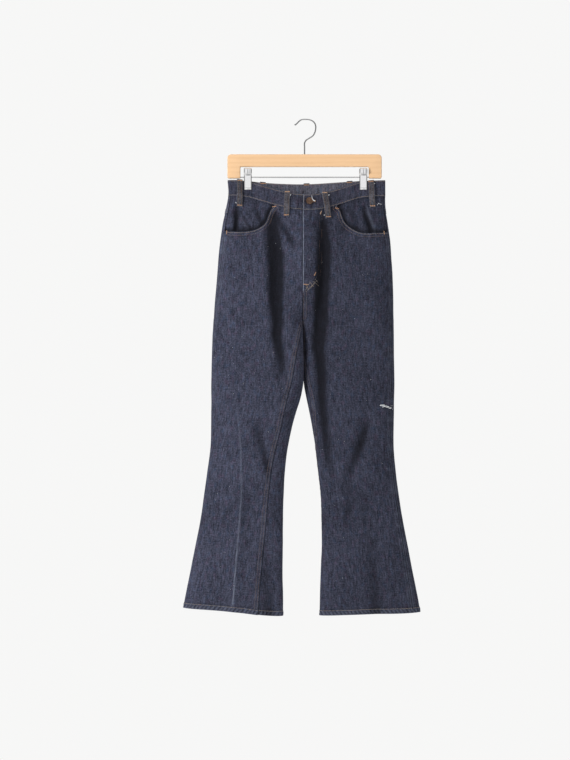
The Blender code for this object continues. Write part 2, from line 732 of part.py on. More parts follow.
def front_panel(side, name, finish):
    """Front of one leg, from the waist seam to the hem, scooped out for its pocket."""
    bank = BANKS[side]
    scoop = RIGHT_SCOOP if side == RIGHT else LEFT_SCOOP
    count = FRONT_COLUMNS
    shares = front_shares(side, scoop)
    top = front_top(side, scoop, shares)
    foot = hem_level(side, bank.inseam_at, bank.outseam_at, count)
    levels = panel_rows(top, foot)
    arcs = panel_arcs(bank.inseam_at, bank.outseam_at, levels, shares_down(shares, levels))
    walls = panel_walls(levels)
    outer = offset(side, levels, arcs, 0.0)
    inner = offset(side, levels, arcs, -walls)
    return sheet(name, outer, inner, finish)


def front_shares(side, scoop):
    """Where the columns stand across the front, closer where the scoop is steep."""
    level = level_of(scoop[0][0], scoop[0][1], True)
    start = arc_at(side, level, scoop[0][0], True)[0]
    width = BANKS[side].outseam_at(level)
    bend = start / width
    after = bend + SCOOP_RUN / width
    return np.concatenate([
        np.linspace(0.0, bend, COLUMNS_BEFORE_SCOOP, endpoint=False),
        np.linspace(bend, after, SCOOP_COLUMNS, endpoint=False),
        np.linspace(after, 1.0, FRONT_COLUMNS - COLUMNS_BEFORE_SCOOP - SCOOP_COLUMNS),
    ])


def shares_down(shares, levels):
    """The columns even out below the pocket."""
    even = np.linspace(0.0, 1.0, len(shares))
    blend = eased((PANEL_ROWS[0] - levels) / COLUMNS_EVEN_OUT)
    return shares * (1 - blend) + even * blend


def front_top(side, scoop, shares):
    """Level of the upper edge of the front: the waist seam, then the scooped edge."""
    across, height = zip(*scoop)
    order = np.argsort(across)
    across = np.array(across)[order]
    height = np.array(height)[order]
    top = np.full(len(shares), BAND_SEAM - LAYER_GAP)
    bank = BANKS[side]
    for _ in range(8):
        arcs = bank.outseam_at(top) * shares
        x = bank.raw(top, arcs)[0]
        edge = level_of(x, smooth(x, across, height), True)
        inside = abs(x) < abs(scoop[0][0])
        top = np.where(inside, BAND_SEAM - LAYER_GAP, edge)
    return top


def pocket_facing(side, name, finish):
    """Denim behind the scooped opening of a front pocket."""
    bank = BANKS[side]
    scoop = RIGHT_SCOOP if side == RIGHT else LEFT_SCOOP
    shares = front_shares(side, scoop)
    top_edge = front_top(side, scoop, shares)
    first = COLUMNS_BEFORE_SCOOP - 1
    shares = shares[first:]
    top = np.full(len(shares), BAND_SEAM - LAYER_GAP)
    foot = top_edge[first:] - SCOOP_HIDES
    levels = spaced(top, foot, FACING_ROWS).T
    arcs = panel_arcs(bank.inseam_at, bank.outseam_at, levels, shares)
    arcs[:, -1] -= CLOTH
    sunk = FACING_GAP + FACING_DIP * (1 - eased(np.arange(len(shares)) / 4.0))
    outer = offset(side, levels, arcs, -CLOTH - sunk)
    inner = offset(side, levels, arcs, -2 * CLOTH - sunk)
    return sheet(name, outer, inner, finish)


def yoke_level(share):
    """Level of the seam under the yoke, from the side to the centre back."""
    return YOKE_SIDE + (YOKE_CENTRE - YOKE_SIDE) * share


def back_end(side):
    """Where the back of one half ends: the centre back, then the inseam."""
    bank = BANKS[side]

    def end(level):
        return bank.length_at(level) + bank.inseam_at(level)

    return end


def yoke(side, name, finish):
    """Back yoke of one side."""
    bank = BANKS[side]
    shares = np.linspace(0.0, 1.0, YOKE_COLUMNS)
    top = np.full(len(shares), BAND_SEAM - LAYER_GAP)
    levels = spaced(top, yoke_level(shares) + SEAM_GAP, YOKE_ROWS).T
    arcs = panel_arcs(bank.outseam_at, back_end(side), levels, shares)
    outer = offset(side, levels, arcs, 0.0)
    inner = offset(side, levels, arcs, -CLOTH)
    return sheet(name, outer, inner, finish)


def back_panel(side, name, finish):
    """Back of one leg, from the yoke to the hem."""
    bank = BANKS[side]
    count = BACK_COLUMNS
    shares = np.linspace(0.0, 1.0, count)
    top = yoke_level(shares) - SEAM_GAP
    foot = hem_level(side, bank.outseam_at, back_end(side), count)
    levels = panel_rows(top, foot)
    arcs = panel_arcs(bank.outseam_at, back_end(side), levels, shares)
    walls = panel_walls(levels)
    outer = offset(side, levels, arcs, 0.0)
    inner = offset(side, levels, arcs, -walls)
    return sheet(name, outer, inner, finish)


def back_pocket(side, name, finish):
    """Plain patch pocket on the back, moved out from the panel."""
    bank = BANKS[side]
    across = np.linspace(-0.5, 0.5, POCKET_STEPS)
    down = np.linspace(0.0, 1.0, POCKET_STEPS)[:, None]
    wide = POCKET_WIDE + (POCKET_FOOT_WIDE - POCKET_WIDE) * down
    tall = POCKET_TALL + POCKET_POINT * (1 - 2 * abs(across))
    levels = POCKET_TOP - tall * down
    middle = bank.length_at(levels) - POCKET_FROM_CENTRE - POCKET_WIDE / 2
    arcs = middle + across * wide
    outer = offset(side, levels, arcs, POCKET_GAP + CLOTH)
    inner = offset(side, levels, arcs, POCKET_GAP)
    return sheet(name, outer, inner, finish)


def waistband(name, finish):
    """One folded strip around the waist, whose upper end laps over at the centre front."""
    right, left = BANKS[RIGHT], BANKS[LEFT]
    level = (BAND_TOP + BAND_SEAM) / 2
    right_round = right.length_at(level)
    left_round = left.length_at(level)
    stops = []
    for arc in np.linspace(LAP_UNDER, SEAM_GAP, LAP_COLUMNS):
        stops.append((LEFT, arc, LAP_STEP))
    for share in np.linspace(0.0, 1.0, BAND_COLUMNS):
        arc = share * (right_round - 2 * SEAM_GAP) + SEAM_GAP
        stops.append((RIGHT, arc, LAP_STEP * float(1 - eased((arc - LAP_CLEAR) / LAP_EASE))))
    for share in np.linspace(0.0, 1.0, BAND_COLUMNS):
        arc = left_round - SEAM_GAP - share * (left_round - 2 * SEAM_GAP)
        stops.append((LEFT, arc, 0.0))
    heights = np.linspace(BAND_TOP, BAND_SEAM, BAND_ROWS)
    outer = []
    inner = []
    for side, arc, sunk in stops:
        face = BAND_PROUD - sunk
        outer.append(offset(side, heights, arc, face))
        inner.append(offset(side, heights, arc, face - BAND_THICK))
    outer = np.stack(outer, axis=1)
    inner = np.stack(inner, axis=1)
    return sheet(name, outer, inner, finish)


def belt_loop(name, face, top, foot, finish):
    """A folded strip over the band, moved out from it and standing off in the middle."""
    front = face == "front"
    side = RIGHT if (top[0] + foot[0]) / 2 < SECTIONS[0].right_inner else LEFT
    down = np.linspace(0.0, 1.0, LOOP_ROWS)
    x = top[0] + (foot[0] - top[0]) * down
    z = top[1] + (foot[1] - top[1]) * down
    levels = level_of(x, z, front)
    middle = arc_at(side, levels, x, front)
    across = np.linspace(-0.5, 0.5, LOOP_COLUMNS) * LOOP_WIDE
    arcs = middle[:, None] + across
    over_band = eased((levels - BAND_SEAM + LOOP_STEP / 2) / LOOP_STEP)
    gap = LOOP_GAP + BAND_PROUD * over_band + LOOP_RISE * np.sin(math.pi * down)
    lift = gap[:, None] + 0.0 * across
    outer = offset(side, levels[:, None], arcs, lift + LOOP_THICK)
    inner = offset(side, levels[:, None], arcs, lift)
    return sheet(name, outer, inner, finish)


def waist_button(finish):
    """Turned metal button on the lapped end of the band."""
    x, z = BUTTON_AT
    level = level_of(np.array([x]), np.array([z]), True)
    arc = arc_at(LEFT, level, x, True)
    centre = offset(LEFT, level, arc, BAND_PROUD)[0]
    normal = offset(LEFT, level, arc, BAND_PROUD + 1.0)[0] - centre
    normal /= np.linalg.norm(normal)
    right = np.cross(normal, [0.0, 0.0, 1.0])
    right /= np.linalg.norm(right)
    lift = np.cross(right, normal)

    def place(a, b, out):
        return (centre + right * a + lift * b + normal * out).tolist()

    return lathe("waist_button", BUTTON_PROFILE, ROUND_SIDES, finish, place)


def corner(centre_x, centre_z, radius, start, end, steps=4):
    """Points on an arc in the X-Z plane, angles in degrees."""
    turned = []
    for k in range(steps + 1):
        angle = math.radians(start + (end - start) * k / steps)
        turned.append((centre_x + radius * math.cos(angle), centre_z + radius * math.sin(angle)))
    return turned


def hanger_bar(finish):
    """Wooden bar with two turned-down ends and eased edges."""
    r = BAR_CORNER
    foot = BAR_FOOT_CORNER
    inner = BAR_HALF - BAR_END_WIDE
    outline = corner(-BAR_HALF + r, BAR_TOP - r, r, 180, 90)
    outline += corner(BAR_HALF - r, BAR_TOP - r, r, 90, 0)
    outline += corner(BAR_HALF - foot, BAR_END_FOOT + foot, foot, 0, -90)
    outline += [(inner, BAR_END_FOOT), (inner, BAR_UNDER), (-inner, BAR_UNDER), (-inner, BAR_END_FOOT)]
    outline += corner(-BAR_HALF + foot, BAR_END_FOOT + foot, foot, -90, -180)
    shape = bmesh.new()
    front = [shape.verts.new((x * MM, -BAR_DEEP / 2 * MM, z * MM)) for x, z in outline]
    face = shape.faces.new(front)
    back = bmesh.ops.extrude_face_region(shape, geom=[face])["geom"]
    moved = [item for item in back if isinstance(item, bmesh.types.BMVert)]
    bmesh.ops.translate(shape, verts=moved, vec=(0.0, BAR_DEEP * MM, 0.0))
    bmesh.ops.recalc_face_normals(shape, faces=shape.faces)
    rims = [edge for edge in shape.edges if abs(edge.verts[0].co.y - edge.verts[1].co.y) < MM / 10]
    bmesh.ops.bevel(shape, geom=rims, offset=BAR_EDGE * MM, segments=2, profile=0.5,
                    affect="EDGES", clamp_overlap=True)
    mesh = bpy.data.meshes.new("hanger_bar")
    shape.to_mesh(mesh)
    shape.free()
    mesh.materials.append(finish)
    made = bpy.data.objects.new("hanger_bar", mesh)
    bpy.context.scene.collection.objects.link(made)
    return made


def hanger_rod(finish):
    """Steel rod between the turned-down ends."""
    reach = BAR_HALF - BAR_END_WIDE - SEAM_GAP
    path = [(-reach, 0.0, ROD_LEVEL), (0.0, 0.0, ROD_LEVEL), (reach, 0.0, ROD_LEVEL)]
    return tube("hanger_rod", path, ROD_RADIUS, ROUND_SIDES, finish)


def hanger_hook(finish):
    """Wire hook, whose crook opens to the wearer's right."""
    points = np.array(HOOK_PATH)
    run = np.concatenate([[0.0], np.cumsum(np.linalg.norm(np.diff(points, axis=0), axis=1))])
    even = np.linspace(0.0, run[-1], HOOK_STEPS)
    x = smooth(even, run, points[:, 0])
    z = smooth(even, run, points[:, 1])
    path = np.stack([x, np.zeros_like(x), z], axis=1)
    return tube("hanger_hook", path, WIRE_RADIUS, WIRE_SIDES, finish)


def clip_jaw(name, x, facing, finish):
    """One plate of a clip: a finger pad, a waist at the rod and a jaw that grips the band."""
    path = np.array(JAW_PATH)
    run = np.concatenate([[0.0], np.cumsum(np.linalg.norm(np.diff(path, axis=0), axis=1))])
    even = np.linspace(0.0, run[-1], JAW_STEPS)
    path = np.stack([smooth(even, run, path[:, 0]), smooth(even, run, path[:, 1])], axis=1)
    along = np.gradient(path, axis=0)
    normal = np.stack([-along[:, 1], along[:, 0]], axis=1)
    normal /= np.linalg.norm(normal, axis=1, keepdims=True)
    outer_path = path + normal * CLIP_PLATE
    across = np.linspace(-0.5, 0.5, JAW_COLUMNS) * CLIP_WIDE + x
    grids = []
    for line in (outer_path, path):
        grid = np.empty((len(line), len(across), 3))
        grid[..., 0] = across
        grid[..., 1] = facing * line[:, :1]
        grid[..., 2] = line[:, 1:]
        grids.append(grid)
    return sheet(name, grids[0], grids[1], finish)


def clip_spring(name, x, finish):
    """Coil of a clip, as a sleeve around the rod."""
    half = SPRING_LONG / 2
    profile = ((SPRING_INNER, -half), (SPRING_OUTER, -half), (SPRING_OUTER, half),
               (SPRING_INNER, half), (SPRING_INNER, -half))

    def place(a, b, out):
        return [x + out, a, ROD_LEVEL + b]

    points = []
    sides = ROUND_SIDES
    for radius, out in profile[:-1]:
        for k in range(sides):
            angle = 2 * math.pi * k / sides
            points.append(place(radius * math.cos(angle), radius * math.sin(angle), out))
    faces = []
    rings = len(profile) - 1
    for i in range(rings):
        low = i * sides
        high = (i + 1) % rings * sides
        for k in range(sides):
            n = (k + 1) % sides
            faces.append((low + k, low + n, high + n, high + k))
    return mesh_object(name, points, faces, finish)


def clear_scene():
    """Starts from an empty scene."""
    for item in list(bpy.data.objects):
        bpy.data.objects.remove(item, do_unlink=True)


def denim(piece, tint=DENIM):
    """The cloth of one piece."""
    return material(f"denim_{piece}", tint, CLOTH_ROUGHNESS)


def build():
    """Makes every piece in its place."""
    clear_scene()
    for side, word in ((RIGHT, "right"), (LEFT, "left")):
        front_panel(side, f"front_panel_{word}", denim(f"front_{word}"))
        pocket_facing(side, f"pocket_facing_{word}", denim(f"facing_{word}", DARKER_DENIM))
        yoke(side, f"yoke_{word}", denim(f"yoke_{word}"))
        back_panel(side, f"back_panel_{word}", denim(f"back_{word}"))
        back_pocket(side, f"back_pocket_{word}", denim(f"pocket_{word}", PALER_DENIM))
    waistband("waistband", denim("waistband"))
    for name, face, top, foot in LOOPS:
        belt_loop(name, face, top, foot, denim(name, PALER_DENIM))
    waist_button(material("copper", COPPER, 0.45, 1.0))
    hanger_bar(material("beech", BEECH, 0.5))
    hanger_rod(material("rod_steel", STEEL, 0.25, 1.0))
    hanger_hook(material("hook_chrome", CHROME, 0.15, 1.0))
    for x, word in zip(CLIP_X, ("right", "left")):
        for facing, end in ((-1, "front"), (1, "back")):
            jaw = material(f"clip_chrome_{word}_{end}", CHROME, 0.12, 1.0)
            clip_jaw(f"clip_{word}_{end}", x, facing, jaw)
        clip_spring(f"clip_{word}_spring", x, material(f"spring_steel_{word}", STEEL, 0.3, 1.0))


build()
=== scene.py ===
"""Dresses bootcut jeans that hang from the two clips of a wooden trouser hanger.

The scene is in metres, +Z up, in the frame of the solids that it loads. The cloth's own tables are in
millimetres. The origin is the inside top of the hook's crook, the wearer's right is on -X, and the
front faces -Y. Every point of the cloth has a level, the height at which it would hang from a straight
waist, and an arc, its run around one half: from the front centre or the leg's inner fold, over the
front to the side fold, and on over the back.
"""

import logging
import math
from dataclasses import dataclass, field
from enum import Enum
from typing import Any, NamedTuple, Optional, Sequence, Union

import bmesh
import bpy
import numpy as np
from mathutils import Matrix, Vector


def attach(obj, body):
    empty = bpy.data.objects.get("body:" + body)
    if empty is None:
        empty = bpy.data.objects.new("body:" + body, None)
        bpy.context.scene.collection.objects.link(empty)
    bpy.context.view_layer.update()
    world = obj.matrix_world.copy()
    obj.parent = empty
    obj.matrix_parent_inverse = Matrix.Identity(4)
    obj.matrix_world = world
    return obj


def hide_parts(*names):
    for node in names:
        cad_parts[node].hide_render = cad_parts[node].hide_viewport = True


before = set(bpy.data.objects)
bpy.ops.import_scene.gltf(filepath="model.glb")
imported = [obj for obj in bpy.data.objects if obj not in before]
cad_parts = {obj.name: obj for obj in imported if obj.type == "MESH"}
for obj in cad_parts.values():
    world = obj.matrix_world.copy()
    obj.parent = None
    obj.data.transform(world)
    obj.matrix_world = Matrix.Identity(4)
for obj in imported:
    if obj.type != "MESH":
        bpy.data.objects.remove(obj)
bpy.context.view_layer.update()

LOG = logging.getLogger("jeans")
MM = 0.001
Array = np.ndarray
Values = Union[float, Array]

# Cloth and waistband, in millimetres
CLOTH = 1.5
BAND_THICK = 3.0
BAND_PROUD = 0.9
BAND_TOP = -144.5
BAND_SEAM = -183.0
BAND_HIDES = 3.5  # the panels run this far up inside the band
CROTCH = -480.0
RISE_TURN = 85.0
LOWEST = -1200.0
HEM_TALL = 11.5
HEM_LEVEL = -1180.0
BAND_TALL = BAND_TOP - BAND_SEAM
GRIP_LEVEL = -160.0

# Hanger, in millimetres
BAR_HALF = 185.0
BAR_TOP = -82.6
BAR_UNDER = -112.8
BAR_END_FOOT = -140.6
BAR_END_WIDE = 31.0
BAR_DEEP = 13.0
ROD_LEVEL = -137.5
CLIP_X = (-136.2, 141.0)
CLIP_WIDE = 18.0
GRIP = 2.9
BAND_GRIP_FOOT = -172.0
BAND_GRIP_FREE = -215.0
GRIP_MARGIN = 2.0
GRIP_EASE = 16.0

# How the sections are worked out
SECTION_STEPS = 300
BANK_SAMPLES = 241
LAP_REACH = 60.0
RISE_SHARE = 0.22
FOLD_CLEAR = (4.0, 26.0)
INNER_CLEAR = (3.0, 22.0)
CLEAR_BLEND = 60.0
NORMAL_STEP = 1.5


class Side(Enum):
    """The wearer's right or left half, and the way that it lies along X."""

    RIGHT = -1
    LEFT = 1


class Face(Enum):
    """Front or back of the garment."""

    FRONT = -1
    BACK = 1


def table(kind: type, *rows: tuple) -> tuple:
    """A table of named rows."""
    return tuple(kind(*row) for row in rows)


class Section(NamedTuple):
    """One level of the garment: the outline seen from the front, and its depths."""

    level: float
    right_side: float
    left_side: float
    right_inner: float
    left_inner: float
    front: float
    back: float
    belly: float
    seat: float
    rounding: float
    lap: float


SECTIONS = table(
    Section,
    (-140, -184.1, 193.2, -3.6, -4.2, 5, 5, 20, 18, 5.5, 0),
    (-183, -182.6, 193, -3.6, -4.2, 6, 6, 21, 18, 7.5, 0),
    (-212, -188.4, 193.9, -3.6, -4.2, 12, 11, 17, 15, 20, 0),
    (-250, -196.8, 199.4, -3.6, -4.2, 21, 19, 10, 10, 45, 0),
    (-288, -202, 204.5, -3.6, -4.2, 29, 27, 4, 5, 62, 0),
    (-327, -206.3, 207.8, -3.6, -4.2, 34, 33, 1, 2, 70, 0),
    (-365, -209.6, 211.2, -3.6, -4.2, 37, 36, 0, 0, 72, 0),
    (-404, -213.1, 213, -3.6, -4.2, 38, 35, 0, 0, 72, 0),
    (-442, -216.5, 213.8, -3.6, -4.2, 37, 32, 0, 0, 70, 0),
    (-480, -218.9, 214.3, -3.6, -4.2, 35, 29, 0, 0, 68, 0),
    (-519, -221.3, 214.8, -2.4, -5, 34, 27, 0, 0, 66, 7.5),
    (-557, -222.6, 215.1, -1.8, -5, 33, 26, 0, 0, 64, 9),
    (-596, -223.2, 215.4, -1.8, -4.6, 32, 26, 0, 0, 62, 9),
    (-634, -223.4, 215, -3.2, -2, 31, 26, 0, 0, 60, 8),
    (-672, -223.4, 214.4, -10.3, 4.3, 30, 26, 0, 0, 60, 5),
    (-730, -224.6, 214.3, -28.3, 16.8, 30, 26, 0, 0, 60, 1),
    (-788, -227.3, 215.2, -40.6, 26.4, 31, 27, 0, 0, 60, 0),
    (-845, -234, 219.3, -47.3, 33.4, 30, 27, 0, 0, 60, 0),
    (-903, -241.7, 226.1, -50.6, 38.8, 28, 26, 0, 0, 64, 0),
    (-960, -250.1, 235.7, -52, 41.1, 27, 26, 0, 0, 68, 0),
    (-1018, -261.6, 247, -52.3, 41, 27, 26, 0, 0, 72, 0),
    (-1076, -273.2, 258.2, -52.3, 38.6, 27, 26, 0, 0, 75, 0),
    (-1133, -284, 269, -52.3, 36.4, 28, 27, 0, 0, 78, 0),
    (-1200, -296, 280.6, -52.3, 35.2, 28.5, 27.5, 0, 0, 80, 0),
)


class Sag(NamedTuple):
    """How far the waist drops between the clips at one place across it."""

    across: float
    front: float
    back: float


SAGS = table(
    Sag,
    (-200, 0, 0),
    (-150, -1, -1),
    (-126, -5.5, -3),
    (-102, -13, -5.5),
    (-83, -18.5, -6.6),
    (-49, -28, -7.8),
    (-4, -35, -8.2),
    (20, -35, -7.6),
    (42, -31.8, -6.6),
    (61, -27.2, -5.6),
    (85, -20, -4.4),
    (109, -12, -3.2),
    (131, -5, -2),
    (157, -1.8, -1),
    (205, 0, 0),
)
SAG_FADES = -330.0


class Twist(NamedTuple):
    """Where the leg seams lie: inset from a fold on the front face, or less than 0 behind it."""

    level: float
    right_inseam: float
    left_inseam: float
    right_outseam: float
    left_outseam: float


TWISTS = table(
    Twist,
    (-140, 0, 0, 4, 2),
    (-270, 0, 0, 8, 3),
    (-480, 0, 0, 4, 6),
    (-524, 10, 0.5, 2, 7),
    (-577, 21, 1, -1, 8),
    (-615, 27, 6, -4, 8),
    (-668, 33, 10, -8, 8),
    (-742, 27, 3, -13, 8),
    (-788, 29.5, 0, -17, 8),
    (-840, 33.5, -2, -21, 8),
    (-898, 36.5, -4, -26, 9),
    (-975, 42, -6, -33, 10),
    (-1052, 49.5, -8, -39, 12),
    (-1116, 55, -9, -44, 15),
    (-1200, 61, -10, -49, 19),
)


class Crease(NamedTuple):
    """A long mark on one face: its width, and (across, height, strength) points along it."""

    face: Face
    width: float
    path: tuple[tuple[float, float, float], ...]


def creases(face: Face, *rows: tuple) -> tuple[Crease, ...]:
    """Creases of one face, from rows of a width and then the points."""
    return tuple(Crease(face, row[0], row[1:]) for row in rows)


FOLDS = creases(
    Face.FRONT,
    (14, (-80, -212, 0), (-76.8, -236, 8), (-70.8, -281, 13), (-64.8, -324, 15), (-64.8, -372, 15),
     (-66, -423, 14), (-63.6, -480, 13), (-66, -519, 12), (-57, -567, 9), (-54, -605, 6), (-60, -650, 0)),
    (14, (42, -212, 0), (45, -245, 8), (49, -312, 14), (48.5, -353, 15), (43.5, -401, 15), (43.5, -461, 14),
     (39.6, -519, 13), (35, -548, 12), (40.5, -605, 11), (41.5, -672, 9), (49, -742, 8), (56.4, -814, 6),
     (74, -870, 0)),
    (9, (-66, -228, 4), (-31, -292, 6), (-16, -319, 0)),
    (11, (91, -236, 0), (94, -262, 5), (98, -300, 0)),
    (11, (-118, -715, 0), (-112, -745, 5), (-88, -832, 6), (-72, -868, 0)),
    (12.5, (148, -700, 0), (146, -740, 6), (134, -780, 8), (122, -812, 6.5), (104, -850, 3.5),
     (105, -936, 4), (105, -1010, 0)),
    (16, (-163, -694, 0), (-152, -840, -3), (-158, -989, -3.5), (-172, -1190, -4)),
    (18, (-96, -980, 0), (-92, -1080, 4), (-84, -1200, 6)),
    (20, (150, -940, 0), (164, -1060, 4), (172, -1200, 6)),
) + creases(
    Face.BACK,
    (15, (-74, -466, 0), (-72, -512, 7), (-66, -570, 9), (-74, -640, 7), (-90, -720, 0)),
    (15, (70, -462, 0), (66, -510, 7), (64, -570, 9), (78, -660, 7), (92, -740, 0)),
    (11, (-180, -700, 0), (-150, -756, 5), (-106, -800, 0)),
    (11, (172, -716, 0), (140, -772, 6), (92, -806, 0)),
    (20, (-140, -900, 0), (-152, -1050, 5), (-160, -1200, 7)),
    (20, (130, -900, 0), (146, -1050, 5), (150, -1200, 7)),
)

# Smaller creases, which only the dressed cloth has
FINE_FOLDS = creases(
    Face.FRONT,
    (9, (34, -246, 0), (37, -312, 5), (34, -380, 6), (31, -450, 6), (26, -519, 5), (24, -566, 0)),
    (9, (-92, -232, 0), (-85, -290, 4.5), (-80, -350, 5.5), (-80, -430, 4.5), (-78, -500, 0)),
    (4.5, (-66, -236, 0), (-42, -274, 0.5), (-22, -306, 0.8), (-8, -326, 0)),
    (4, (-38, -214, 0), (-22, -222, 4), (-7, -230, 4.5), (-1, -238, 0)),
    (3, (20, -222, 0), (16, -234, 2.6), (12, -252, 0)),
    (6, (-88, -250, 0), (-94, -290, 1.4), (-92, -345, 0)),
    (6, (-120, -285, 0), (-126, -330, 1.3), (-121, -392, 0)),
    (5, (62, -226, 0), (67, -252, 1.7), (66, -288, 0)),
    (6, (132, -284, 0), (136, -330, 1.2), (128, -380, 0)),
    (5, (-24, -428, 0), (-40, -448, 1.8), (-58, -462, 0)),
    (5, (8, -440, 0), (22, -456, 2), (38, -466, 0)),
    (6, (-14, -486, 0), (-30, -520, 2), (-38, -566, 0)),
    (5, (12, -500, 0), (19, -540, 1.8), (22, -590, 0)),
    (8, (-176, -690, 0), (-150, -716, 2), (-122, -730, 0)),
    (7, (-60, -700, 0), (-70, -752, 2.2), (-64, -806, 0)),
    (8, (-206, -760, 0), (-180, -800, 1.8), (-150, -826, 0)),
    (7, (108, -838, 1.5), (117, -852, 1.8), (127, -862, 0)),
    (6, (72, -922, 0), (88, -926, 1.8), (106, -925, 0)),
    (8, (196, -742, 0), (170, -782, 2.2), (150, -806, 0)),
    (7, (60, -832, 0), (72, -870, 2), (92, -892, 0)),
    (6, (-56, -838, 0), (-62, -856, 2.6), (-76, -872, 0)),
    (10, (-208, -930, 0), (-214, -1040, 1.6), (-222, -1120, 0)),
    (10, (206, -900, 0), (218, -1000, 1.6), (226, -1110, 0)),
    (9, (62, -1000, 0), (66, -1090, 1.8), (62, -1170, 0)),
) + creases(
    Face.BACK,
    (6, (-20, -455, 0), (-48, -470, 2.4), (-84, -476, 0)),
    (6, (16, -462, 0), (44, -478, 2.4), (80, -484, 0)),
    (6, (-34, -500, 0), (-60, -530, 2.2), (-100, -548, 0)),
    (6, (30, -506, 0), (62, -540, 2.2), (104, -556, 0)),
    (8, (-60, -740, 0), (-100, -772, 3), (-150, -780, 0)),
    (8, (58, -752, 0), (104, -790, 3), (150, -800, 0)),
    (7, (-196, -806, 0), (-150, -826, 2.4), (-96, -820, 0)),
    (7, (190, -822, 0), (146, -840, 2.4), (92, -836, 0)),
    (7, (-120, -300, 0), (-150, -420, 1.6), (-150, -520, 0)),
    (7, (150, -450, 0), (158, -540, 1.8), (150, -620, 0)),
)

# Places where rubbing has whitened the cloth
WORN_LINES = creases(
    Face.FRONT,
    (1.25, (-163, -694, 0.1), (-158, -725, 0.3), (-152.6, -788, 0.45), (-151, -898, 0.5),
     (-158, -989, 0.65), (-167, -1095, 0.9), (-171.6, -1164, 1.2)),
) + creases(
    Face.BACK,
    (2.2, (-150, -720, 0), (-146, -900, 0.35), (-160, -1160, 0.4)),
    (2.2, (146, -760, 0), (144, -940, 0.35), (156, -1160, 0.4)),
)

HEM_LINE = ((-296, -1170), (-262, -1172), (-226, -1174), (-183, -1177.5), (-146, -1181.5), (-116, -1185.5),
    (-90, -1188.5), (-52, -1189.5), (36, -1188.5), (93, -1186), (170, -1183.5), (254, -1181.5), (281, -1180))

# Scooped edges of the front pockets: (across, height), from the waist seam to the side
SCOOPS = {
    Side.RIGHT: ((-73, -208), (-79, -214.5), (-85, -227), (-91, -244), (-103, -257), (-122, -266),
        (-143, -269.7), (-165, -269.7), (-210, -266)),
    Side.LEFT: ((78, -212.5), (83.5, -216.5), (89, -233), (99, -250.5), (113, -262.5), (129, -270.5),
        (147, -273.3), (169, -272.3), (215, -270)),
}
FACING_FOLDS = {
    Side.RIGHT: creases(
        Face.FRONT,
        (5.4, (-163, -210, 3), (-163.5, -240, 8), (-166, -272, 7.5)),
        (3, (-156, -226, 0), (-146, -244, -1.6), (-132, -264, -1.2)),
        (4.5, (-150, -228, 0), (-139, -246, 2.4), (-126, -266, 2.4)),
        (6.5, (-118, -198, 0), (-112, -226, 3.4), (-100, -252, 2)),
    ),
    Side.LEFT: creases(
        Face.FRONT,
        (3, (147, -198, 0), (153, -226, -1.8), (163, -252, -2), (170, -272, -1.6)),
        (5.5, (139, -200, 1), (144.5, -228, 5), (155.5, -256, 6), (162, -276, 5)),
        (7, (112, -206, 0), (116, -232, 3), (124, -258, 1.5)),
    ),
}
# Outer row of the fly's curved topstitch, as (across, height) points
FLY_CURVE = ((40.8, -214), (40.6, -262), (40.2, -310), (39.4, -348.5), (34.8, -377), (26.6, -390.5),
    (15.6, -402.5), (1.2, -411))
YOKE_SIDE = -224.0
YOKE_CENTRE = -262.0
MERGE_LEVEL = -300.0  # the rows of every panel are level from here down

# Waistband lap at the centre front
LAP_UNDER = 27.0
LAP_STEP = 3.6
LAP_CLEAR = 3.0
LAP_EASE = 16.0
SEAM_GAP = 0.3

LOOP_WIDE = 14.0
LOOP_THICK = 1.8
LOOP_LONG = 64.0

SEW_STEP = 1.2  # spacing of the points that a sewn line is read at
FELLED_ROWS = (2.4, 8.2)
PATCH_ROWS = (2.2, 8.2)
MOUTH_ROWS = (1.8, 13.5)
SCOOP_ROWS = (2.2, 8.4)
FLY_ROWS = (0.0, 5.4)


class LoopPlace(NamedTuple):
    """Where one belt loop lies: (across, height) of its top and foot."""

    name: str
    face: Face
    top: tuple[float, float]
    foot: tuple[float, float]


LOOPS = table(
    LoopPlace,
    ("belt_loop_side_right", Face.FRONT, (-155.6, -142.6), (-155.8, -209)),
    ("belt_loop_front_right", Face.FRONT, (-40.5, -171), (-43.5, -232.5)),
    ("belt_loop_front_left", Face.FRONT, (47, -173), (57.5, -236)),
    ("belt_loop_side_left", Face.FRONT, (159.6, -144.6), (163.2, -210.5)),
    ("belt_loop_back_right", Face.BACK, (-100, -148), (-100.5, -213)),
    ("belt_loop_back_centre", Face.BACK, (5, -150), (2, -217)),
    ("belt_loop_back_left", Face.BACK, (108, -145.5), (109, -211)),
)

POCKET_FROM_CENTRE = 34.0
POCKET_WIDE = 146.0
POCKET_FOOT_WIDE = 126.0
POCKET_TOP = -288.0
POCKET_TALL = 138.0
POCKET_POINT = 18.0

BUTTON_AT = (11.3, -195.6)
BUTTON_RADIUS = 8.3

HOOK_PATH = ((0, -86), (0, -66), (0.3, -54.5), (3, -49.6), (11.5, -43.6), (19.6, -38.2), (24.2, -31),
    (26.4, -22.5), (26.8, -15.5), (24.8, -8.6), (19.6, -2.8), (12.4, 0.4), (5, 1.5), (-1, 1.5), (-7.5, 0.6),
    (-13.4, -3.2), (-18, -8), (-22, -11.4))
JAW_PATH = ((9, -117), (11.4, -118.4), (12.6, -121.6), (11.6, -125.4), (8.2, -130.4), (5.6, -134.2),
    (4.85, -137.2), (4.9, -141.5), (5, -147), (4.7, -154), (4.05, -161), (4, -167.6))


